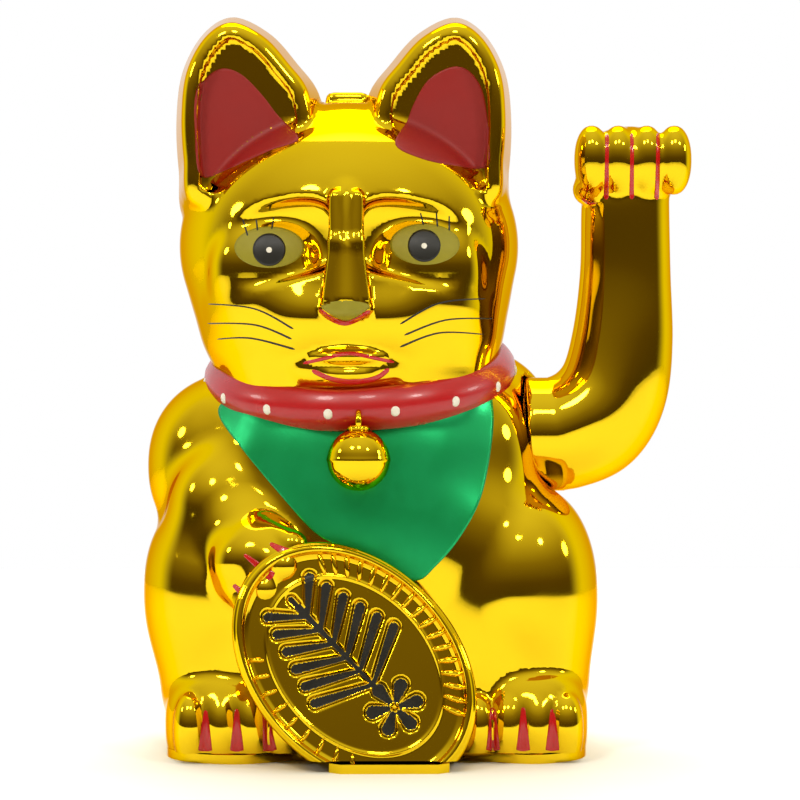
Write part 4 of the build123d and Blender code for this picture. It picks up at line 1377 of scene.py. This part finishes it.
# ------------------------------------------------------------------ what repeats
@dataclass
class RingOfLumps:
    """Low rounded lumps spaced along an oval arc, made by geometry nodes.

    Attributes:
        name: The piece's name.
        count: How many lumps there are.
        start: Where the first stands, in degrees.
        sweep: How far round the last stands from the first, in degrees.
        radius_x: The arc's radius along X.
        radius_y: Its radius along Y.
        size: A lump's half width outwards, along the arc and upwards.
        finish: The lumps' finish.
        jitter: How much bigger a lump may be, as a share.
        seed: The seed of that spread.
    """

    name: str
    count: int
    start: float
    sweep: float
    radius_x: float
    radius_y: float
    size: Point
    finish: Finish
    jitter: float = 0.04
    seed: int = 1

    def tree(self) -> bpy.types.NodeTree:
        """Make the node tree, with its sizes as named inputs.

        Returns:
            The tree.
        """
        tree = bpy.data.node_groups.new(self.name + "_nodes", "GeometryNodeTree")
        step = math.radians(self.sweep) / max(self.count - 1, 1)
        sizes = {"Count": self.count, "Start": math.radians(self.start), "Step": step,
                 "Radius X": self.radius_x * MM, "Radius Y": self.radius_y * MM, "Jitter": self.jitter,
                 "Seed": self.seed}
        for name, value in sizes.items():
            kind = "NodeSocketInt" if name in ("Count", "Seed") else "NodeSocketFloat"
            tree.interface.new_socket(name=name, in_out="INPUT", socket_type=kind).default_value = value
        tree.interface.new_socket(name="Lump Size", in_out="INPUT", socket_type="NodeSocketVector")
        tree.interface.new_socket(name="Geometry", in_out="OUTPUT", socket_type="NodeSocketGeometry")
        given = add_node(tree, "NodeGroupInput").outputs
        line = add_node(tree, "GeometryNodeMeshLine", None, {"Count": given["Count"]})
        index = add_node(tree, "GeometryNodeInputIndex").outputs[0]
        angle = add_node(tree, "ShaderNodeMath", None, {0: index, 1: given["Step"], 2: given["Start"]},
                         operation="MULTIPLY_ADD").outputs[0]
        cos = add_node(tree, "ShaderNodeMath", None, {0: angle}, operation="COSINE").outputs[0]
        sin = add_node(tree, "ShaderNodeMath", None, {0: angle}, operation="SINE").outputs[0]
        x = add_node(tree, "ShaderNodeMath", None, {0: cos, 1: given["Radius X"]},
                     operation="MULTIPLY").outputs[0]
        y = add_node(tree, "ShaderNodeMath", None, {0: sin, 1: given["Radius Y"]},
                     operation="MULTIPLY").outputs[0]
        place = add_node(tree, "ShaderNodeCombineXYZ", None, {"X": x, "Y": y}).outputs[0]
        spaced = add_node(tree, "GeometryNodeSetPosition", None,
                          {"Geometry": line.outputs[0], "Position": place})
        lump = add_node(tree, "GeometryNodeMeshUVSphere", {"Segments": 14, "Rings": 8, "Radius": MM})
        shaped = add_node(tree, "GeometryNodeTransform", None,
                          {"Geometry": lump.outputs[0], "Scale": given["Lump Size"]})
        spin = add_node(tree, "ShaderNodeMath", None, {0: y, 1: x}, operation="ARCTAN2").outputs[0]
        turn = add_node(tree, "ShaderNodeCombineXYZ", None, {"Z": spin}).outputs[0]
        wobble = add_node(tree, "FunctionNodeRandomValue", None, {"Seed": given["Seed"]}, data_type="FLOAT")
        scale = add_node(tree, "ShaderNodeMath", {2: 1.0}, {0: wobble.outputs[1], 1: given["Jitter"]},
                         operation="MULTIPLY_ADD").outputs[0]
        placed = add_node(tree, "GeometryNodeInstanceOnPoints", None,
                          {"Points": spaced.outputs[0], "Instance": shaped.outputs[0], "Rotation": turn,
                           "Scale": scale})
        real = add_node(tree, "GeometryNodeRealizeInstances", None, {"Geometry": placed.outputs[0]})
        smooth = add_node(tree, "GeometryNodeSetShadeSmooth", None, {"Geometry": real.outputs[0]})
        dressed = add_node(tree, "GeometryNodeSetMaterial", {"Material": self.finish.material()},
                           {"Geometry": smooth.outputs[0]})
        add_node(tree, "NodeGroupOutput", None, {"Geometry": dressed.outputs[0]})
        return tree

    def build(self, body: str, place: Callable[[np.ndarray], np.ndarray]) -> bpy.types.Object:
        """Make the lumps as a plain mesh, and put them in their place.

        Args:
            body: The CAD body that they ride on.
            place: Moves points from the ring's own plane to their place, in millimetres.

        Returns:
            The piece.
        """
        tree = self.tree()
        holder = bpy.data.objects.new(self.name + "_holder", bpy.data.meshes.new(self.name + "_holder"))
        bpy.context.scene.collection.objects.link(holder)
        modifier = holder.modifiers.new("lumps", "NODES")
        modifier.node_group = tree
        for item in tree.interface.items_tree:
            if item.name == "Lump Size":
                modifier[item.identifier] = self.size
            elif item.in_out == "INPUT":
                modifier[item.identifier] = item.default_value
        bpy.context.view_layer.update()
        evaluated = holder.evaluated_get(bpy.context.evaluated_depsgraph_get())
        mesh = bpy.data.meshes.new_from_object(evaluated)
        bpy.data.objects.remove(holder)
        p = np.empty(len(mesh.vertices) * 3)
        mesh.vertices.foreach_get("co", p)
        p = place(p.reshape(-1, 3) / MM) * MM
        mesh.vertices.foreach_set("co", p.ravel())
        mesh.update()
        mesh.name = self.name
        piece = bpy.data.objects.new(self.name, mesh)
        bpy.context.scene.collection.objects.link(piece)
        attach(piece, body)
        return piece


def turn_x(degrees: float) -> np.ndarray:
    """Give the turn about X."""
    c, s = math.cos(math.radians(degrees)), math.sin(math.radians(degrees))
    return np.array([[1, 0, 0], [0, c, -s], [0, s, c]])


def turn_y(degrees: float) -> np.ndarray:
    """Give the turn about Y."""
    c, s = math.cos(math.radians(degrees)), math.sin(math.radians(degrees))
    return np.array([[c, 0, s], [0, 1, 0], [-s, 0, c]])


# ------------------------------------------------------------------ collar and bell
@dataclass
class Collar:
    """The red neck band with its white studs and its bell.

    Attributes:
        centre: The middle of the band.
        radius_x: Its radius along X, to the middle of its thickness.
        radius_y: Its radius along Y.
        tilt: How many degrees its front leans down.
        roll: How many degrees it leans sideways.
        half_thickness: Half its thickness.
        half_height: Half its height.
        sag: How far its back settles, as a share of what the tilt lifts it.
        swell: How much wider it is at the back, as a share.
        studs: How many studs it has.
        stud_start: Where the first stud stands, in degrees.
        stud_sweep: How far round the last stands from the first, in degrees.
        bell: The middle of the bell.
        bell_r: Its radius.
    """

    centre: Point = (0.0, -3.0, 102.5)
    radius_x: float = 38.3
    radius_y: float = 37.6
    tilt: float = 14.5
    roll: float = -2.4
    half_thickness: float = 4.2
    half_height: float = 5.6
    sag: float = 0.62
    swell: float = 0.055
    studs: int = 15
    stud_start: float = -126.0
    stud_sweep: float = 336.0
    bell: Point = (-0.4, -44.5, 80.0)
    bell_r: float = 8.2

    def placed(self, local: np.ndarray) -> np.ndarray:
        """Lean the band forward, let its back sag and widen it there around the neck.

        Args:
            local: Points about the band's own middle, lying flat.

        Returns:
            The points in their place.
        """
        behind = np.maximum(local[:, 1], 0) / self.radius_y
        drop = self.sag * math.tan(math.radians(self.tilt)) * behind ** 2 * self.radius_y
        wide = 1.0 + self.swell * behind
        sunk = np.stack([local[:, 0] * wide, local[:, 1] * wide, local[:, 2] - drop], 1)
        return sunk @ (turn_y(self.roll) @ turn_x(self.tilt)).T + np.array(self.centre)

    def build(self) -> None:
        """Make the band, the studs and the bell."""
        around, section = 168, 20
        points = []
        for i in range(around):
            a = 2 * math.pi * i / around
            for j in range(section):
                b = 2 * math.pi * j / section
                lip = 1.0 + 0.05 * math.cos(4 * b)
                out = self.half_thickness * math.cos(b) * lip
                up = self.half_height * math.sin(b) * lip
                points.append(((self.radius_x + out) * math.cos(a), (self.radius_y + out) * math.sin(a), up))
        band = self.placed(rows(points))
        make_object("collar_band", band, tube_faces(around, section), [RED_SATIN], "housing")
        outside = self.half_thickness - 0.05
        studs = RingOfLumps("collar_studs", self.studs, self.stud_start, self.stud_sweep,
                            self.radius_x + outside, self.radius_y + outside, (0.6, 1.3, 1.4), WHITE_DOT)
        studs.build("housing", self.placed)
        self.build_bell()
        LOG.info("made the collar and the bell")

    def build_bell(self) -> None:
        """Make the ball of the bell with its waist bead, and its loop."""
        r = self.bell_r
        profile = [(0.02, -r)]
        for i in range(1, 40):
            a = -math.pi / 2 + math.pi * i / 40
            bead = 0.28 * math.exp(-(a / 0.07) ** 2)
            profile.append(((r + bead) * math.cos(a), (r + bead) * math.sin(a)))
        profile += [(3.0, r * 0.945), (2.9, r + 0.5), (2.2, r + 0.9), (0.02, r + 1.0)]
        points, faces = spun(profile, 64)
        make_object("bell_ball", points + np.array(self.bell), faces, [GOLD], "housing")
        self.build_loop()

    def build_loop(self) -> None:
        """Make the wire loop that the bell hangs from."""
        around, section = 32, 10
        loop_r, wire_r = 2.6, 0.8
        ring = []
        for i in range(around):
            a = 2 * math.pi * i / around
            for j in range(section):
                b = 2 * math.pi * j / section
                out = loop_r + wire_r * math.cos(b)
                ring.append((wire_r * math.sin(b), out * math.cos(a), out * math.sin(a)))
        outwards = [[a, d, c, b] for a, b, c, d in tube_faces(around, section)]
        top = np.array(self.bell) + np.array([0, 0.8, self.bell_r + 1.6])
        make_object("bell_loop", rows(ring) + top, outwards, [GOLD], "housing")


# ------------------------------------------------------------------ the coin
@dataclass
class Coin:
    """The long oval coin: a raised rim, a ring of ribs, and a sunk blossom on a spray of leaves.

    Distances from the middle are shares of the half widths, so 1 is the outer edge.

    Attributes:
        half_w: Half its width.
        half_l: Half its length.
        lean: How many degrees its top leans sideways.
        tilt: How many degrees its top leans back.
        face_y: The Y of its face before it tilts.
        centre: X and Z of its middle before it tilts.
        depth: How far the plate reaches back into the body.
        floor_z: The height that it is cut level at.
        rim: How proud the rim stands, where it lies and half its width.
        line: The same for the fine raised line inside the ribs.
        dish: How deep the field lies, where it starts and how long its slope is.
        recess: How deep the spray is sunk.
        petals: How many petals the blossom has.
        leaf_pairs: How many pairs of leaves the spray has.
        blossom_z: The middle of the blossom, along the coin's length.
        rib_ring: Where the ribs stand.
    """

    half_w: float = 26.0
    half_l: float = 35.7
    lean: float = -44.0
    tilt: float = -9.0
    face_y: float = -57.5
    centre: Flat = (-1.5, 18.5)
    depth: float = 26.0
    floor_z: float = 2.95
    rim: Point = (1.1, 0.955, 0.03)
    line: Point = (0.35, 0.735, 0.012)
    dish: Point = (0.9, 0.93, 0.05)
    recess: float = 1.3
    petals: int = 6
    leaf_pairs: int = 6
    blossom_z: float = -15.0
    rib_ring: float = 0.835

    def turn(self) -> np.ndarray:
        """Give the coin's lean sideways and back."""
        return turn_x(self.tilt) @ turn_y(self.lean)

    def placed(self, local: np.ndarray) -> np.ndarray:
        """Move points to their place.

        Args:
            local: Points in the coin's own axes, with Y as depth and Z along its length.

        Returns:
            The same points in the frame.
        """
        return local @ self.turn().T + np.array([self.centre[0], 0.0, self.centre[1]])

    def spray(self) -> list[tuple[Flat, Flat, float]]:
        """Lay out the sunk spray: a stem, a blossom and pairs of leaves.

        Returns:
            The start, the end and the half width of each stroke.
        """
        strokes: list[tuple[Flat, Flat, float]] = [((0.0, -8.0), (0.0, 23.5), 1.3)]
        for i in range(self.petals):
            a = math.radians(30 + 360 * i / self.petals)
            root, tip = 1.9, 5.8
            strokes.append(((root * math.cos(a), self.blossom_z + root * math.sin(a)),
                            (tip * math.cos(a), self.blossom_z + tip * math.sin(a)), 2.2))
        for i in range(self.leaf_pairs):
            low = -7.0 + 4.9 * i
            for side in (-1, 1):
                strokes.append(((0.0, low), (side * (14.2 - 1.35 * i), low + 7.0), 1.75))
        return strokes

    def height(self, u: np.ndarray, v: np.ndarray) -> np.ndarray:
        """Give how far the face stands proud.

        Args:
            u: Each point's place across the coin.
            v: Its place along the coin.

        Returns:
            The height at each point.
        """
        s = np.hypot(u / self.half_w, v / self.half_l)
        rim = self.rim[0] * np.exp(-((s - self.rim[1]) / self.rim[2]) ** 4)
        line = self.line[0] * np.exp(-((s - self.line[1]) / self.line[2]) ** 2)
        dish = -self.dish[0] * np.clip((self.dish[1] - s) / self.dish[2], 0, 1)
        return rim + line + dish - self.recess * self.depth_share(u, v)

    def depth_share(self, u: np.ndarray, v: np.ndarray) -> np.ndarray:
        """Give how deep each point lies in the sunk spray, whose strokes widen towards their ends.

        Args:
            u: Each point's place across the coin.
            v: Its place along the coin.

        Returns:
            A share from 0 on the field to 1 at the bottom.
        """
        best = np.full(u.shape, 9.0)
        slope = 0.7
        for (ax, az), (bx, bz), r in self.spray():
            along = (u - ax) * (bx - ax) + (v - az) * (bz - az)
            t = np.clip(along / ((bx - ax) ** 2 + (bz - az) ** 2), 0, 1)
            away = np.hypot(u - ax - t * (bx - ax), v - az - t * (bz - az))
            best = np.minimum(best, away - r * (0.55 + 0.45 * t))
        return np.clip(0.5 - best / slope, 0, 1)

    def build(self) -> None:
        """Make the plate and its ribs."""
        rings, around = 120, 300
        s = np.concatenate([[0.0], np.linspace(0.01, 1.0, rings)])
        angle = 2 * np.pi * np.arange(around) / around
        u = np.concatenate([[0.0], np.outer(s[1:], self.half_w * np.cos(angle)).ravel()])
        v = np.concatenate([[0.0], np.outer(s[1:], self.half_l * np.sin(angle)).ravel()])
        y = self.face_y - self.height(u, v)
        points = [np.stack([u, y, v], 1)]
        wall = [(1.012, 0.5), (1.02, 1.6), (1.02, 4.0), (1.02, self.depth)]
        for grow, back in wall:
            points.append(np.stack([grow * self.half_w * np.cos(angle), np.full(around, self.face_y + back),
                                    grow * self.half_l * np.sin(angle)], 1))
        local = np.concatenate(points)
        faces = disc_faces(rings + len(wall), around)
        deep = self.depth_share(local[:, 0], local[:, 2])
        on_face = len(u)
        inked = [int(max(f) < on_face and min(deep[i] for i in f) > 0.9) for f in faces]
        world, faces, inked = self.trimmed(self.placed(local), faces, inked)
        make_object("coin_plate", world, faces, [GOLD, BLACK_LINE], "housing", inked)
        self.build_ribs()
        LOG.info("made the coin")

    def trimmed(self, points: np.ndarray, faces: list[list[int]],
                marks: list[int]) -> tuple[np.ndarray, list[list[int]], list[int]]:
        """Cut the plate level with the foot of the body.

        Args:
            points: The plate's points in their place.
            faces: Its faces.
            marks: The slot number of each face.

        Returns:
            The points, faces and slot numbers that are left.
        """
        mesh = bmesh.new()
        made = [mesh.verts.new(p) for p in points]
        for f, mark in zip(faces, marks):
            mesh.faces.new([made[i] for i in f]).material_index = mark
        everything = list(mesh.verts) + list(mesh.edges) + list(mesh.faces)
        bmesh.ops.bisect_plane(mesh, geom=everything, dist=0.01, plane_co=(0, 0, self.floor_z),
                               plane_no=(0, 0, -1), clear_outer=True)
        mesh.verts.index_update()
        out = (rows(v.co for v in mesh.verts), [[v.index for v in f.verts] for f in mesh.faces],
               [f.material_index for f in mesh.faces])
        mesh.free()
        return out

    def build_ribs(self) -> None:
        """Make the short ribs round the field, close together on one side and small on the other."""
        upright = turn_x(90.0)
        field_level = np.array([0.0, self.face_y + 0.6, 0.0])
        for name, count, start, sweep, size in (("coin_ribs_right", 17, -62.0, 118.0, (2.9, 0.75, 0.8)),
                                                ("coin_ribs_left", 9, 142.0, 74.0, (1.9, 0.6, 0.7))):
            ribs = RingOfLumps(name, count, start, sweep, self.half_w * self.rib_ring,
                               self.half_l * self.rib_ring, size, GOLD)
            ribs.build("housing", lambda local: self.placed(local @ upright.T + field_level))


# ------------------------------------------------------------------ posts inside the body
@dataclass
class Posts:
    """The screw bosses inside the body mouldings."""

    upright: tuple[Flat, ...] = ((-33.0, -35.5), (45.0, -35.5), (-12.0, 25.3), (31.0, 23.5))
    level: tuple[Flat, ...] = ((6.0, 92.5), (6.0, 78.5), (29.5, 96.0))
    outer_r: float = 3.6
    inner_r: float = 1.36
    upright_span: Flat = (3.0, 19.5)
    level_span: Flat = (18.6, 27.5)

    def sleeve(self, span: Flat) -> tuple[np.ndarray, list[list[int]]]:
        """Make an upright tube between two heights."""
        low, high = span
        inner, outer = self.inner_r, self.outer_r
        return spun([(inner, low), (outer, low), (outer, high), (inner, high)], 28)

    def build(self) -> None:
        """Make every boss as one piece."""
        upright, loops = self.sleeve(self.upright_span)
        level, _ = self.sleeve(self.level_span)
        parts = [(upright + np.array([x, y, 0.0]), loops) for x, y in self.upright]
        parts += [(laid_level(level, x, z), loops) for x, z in self.level]
        points, faces = gathered(parts)
        make_object("screw_bosses", points, faces, [GOLD], "housing", smooth=False)


# ------------------------------------------------------------------ dressing the CAD pieces
def dress_frame(nodes: dict[str, bpy.types.Object]) -> None:
    """Give every shown CAD piece its finish, by the material slot it came with.

    Args:
        nodes: The CAD pieces, by name.
    """
    for node in nodes.values():
        for place in node.material_slots:
            name = place.material.name.split(".")[0]
            place.material = INNER_FINISHES[name].material() if name in INNER_FINISHES else place.material


# ------------------------------------------------------------------ light and camera
@dataclass
class Studio:
    """A pale floor, a white back, a darker room in front and a few soft lamps.

    Places are in metres. Each lamp has a place, a width and a power in watts.
    """

    lamps: tuple[tuple[Point, float, float], ...] = (
        ((-0.55, -0.95, 1.15), 0.26, 5.0), ((0.75, -0.9, 1.0), 0.18, 3.4), ((0.05, -1.3, 1.5), 0.3, 5.0),
        ((-1.3, -0.2, 0.7), 0.24, 2.4), ((1.35, -0.1, 0.6), 0.24, 2.4), ((0.0, 0.7, 1.6), 1.4, 17.0))
    floor: tuple[Point, ...] = ((-2, -3, 0), (2, -3, 0), (2, 0.7, 0), (-2, 0.7, 0))
    lamp_tint: Point = (1.0, 0.97, 0.92)
    lamp_aim: Point = (0.0, 0.0, 0.1)
    room_low: str = "#4E4120"
    room_high: str = "#F2EEDC"
    room_between: tuple[tuple[float, str], ...] = ((0.1, "#5C4C26"), (0.34, "#8F8052"), (0.62, "#C9C09C"))
    lens: float = 147.2
    eye_place: Point = (0.0, -0.9, 0.11)
    eye_aim: Point = (0.011, 0.0, 0.0949)

    def build(self) -> None:
        """Set up floor, room light, lamps and camera."""
        floor = bpy.data.meshes.new("studio_floor")
        floor.from_pydata(self.floor, [], [(0, 1, 2, 3)])
        floor.materials.append(PAPER.material())
        ground = bpy.data.objects.new("studio_floor", floor)
        bpy.context.scene.collection.objects.link(ground)
        ground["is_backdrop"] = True
        self.room()
        for i, (place, size, power) in enumerate(self.lamps):
            lamp = bpy.data.lights.new(f"soft_lamp_{i + 1}", "AREA")
            lamp.shape, lamp.size, lamp.energy, lamp.color = "DISK", size, power, self.lamp_tint
            holder = bpy.data.objects.new(lamp.name, lamp)
            holder.location = place
            way = Vector(self.lamp_aim) - Vector(place)
            holder.rotation_euler = way.to_track_quat("-Z", "Y").to_euler()
            bpy.context.scene.collection.objects.link(holder)
        self.camera()

    def room(self) -> None:
        """Light the room: white behind, olive brown in front at eye height, brighter above."""
        world = bpy.data.worlds.new("studio_room")
        world.use_nodes = True
        bpy.context.scene.world = world
        tree = world.node_tree
        tree.nodes.clear()
        way = add_node(tree, "ShaderNodeTexCoord").outputs["Generated"]
        parts = add_node(tree, "ShaderNodeSeparateXYZ", None, {0: way})
        behind = add_node(tree, "ShaderNodeMapRange", {1: -0.15, 2: 0.45, 3: 0.0, 4: 1.0},
                          {0: parts.outputs["Y"]}, interpolation_type="SMOOTHSTEP")
        climb = add_node(tree, "ShaderNodeValToRGB", None, {0: parts.outputs["Z"]})
        ramp = climb.color_ramp
        ramp.elements[0].position, ramp.elements[0].color = 0.0, srgb(self.room_low)
        ramp.elements[1].position, ramp.elements[1].color = 1.0, srgb(self.room_high)
        for at, code in self.room_between:
            stop = ramp.elements.new(at)
            stop.color = srgb(code)
        mixed = add_node(tree, "ShaderNodeMix", {7: (1.0, 1.0, 1.0, 1.0)},
                         {0: behind.outputs[0], 6: climb.outputs[0]}, data_type="RGBA")
        back = add_node(tree, "ShaderNodeBackground", {"Strength": 1.0}, {"Color": mixed.outputs[2]})
        add_node(tree, "ShaderNodeOutputWorld", None, {"Surface": back.outputs[0]})

    def camera(self) -> None:
        """Place the camera level with the neck."""
        eye = bpy.data.cameras.new("camera")
        eye.lens, eye.sensor_width, eye.clip_end = self.lens, 36.0, 50.0
        holder = bpy.data.objects.new("camera", eye)
        holder.location = self.eye_place
        holder.rotation_euler = (Vector(self.eye_aim) - holder.location).to_track_quat("-Z", "Y").to_euler()
        bpy.context.scene.collection.objects.link(holder)
        bpy.context.scene.camera = holder
        bpy.context.scene.view_settings.view_transform = "Standard"


def corners() -> list[list[float]]:
    """Give the lowest and highest corner of what is shown."""
    return [list(corner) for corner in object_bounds()]


def main() -> None:
    """Load the frame, build and dress every sub-assembly, and set up the studio."""
    logging.basicConfig(level=logging.INFO, format="%(message)s")
    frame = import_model()
    dress_frame(frame["nodes"])
    body_grid = BodyShells().build()
    paint = Paint(body_grid, "housing")
    BodyPaint().build(paint)
    FacePaint().build(paint)
    LOG.info("painted the body and the face")
    WavingArm().build()
    Collar().build()
    Coin().build()
    Posts().build()
    Studio().build()


if __name__ == "__main__":
    main()
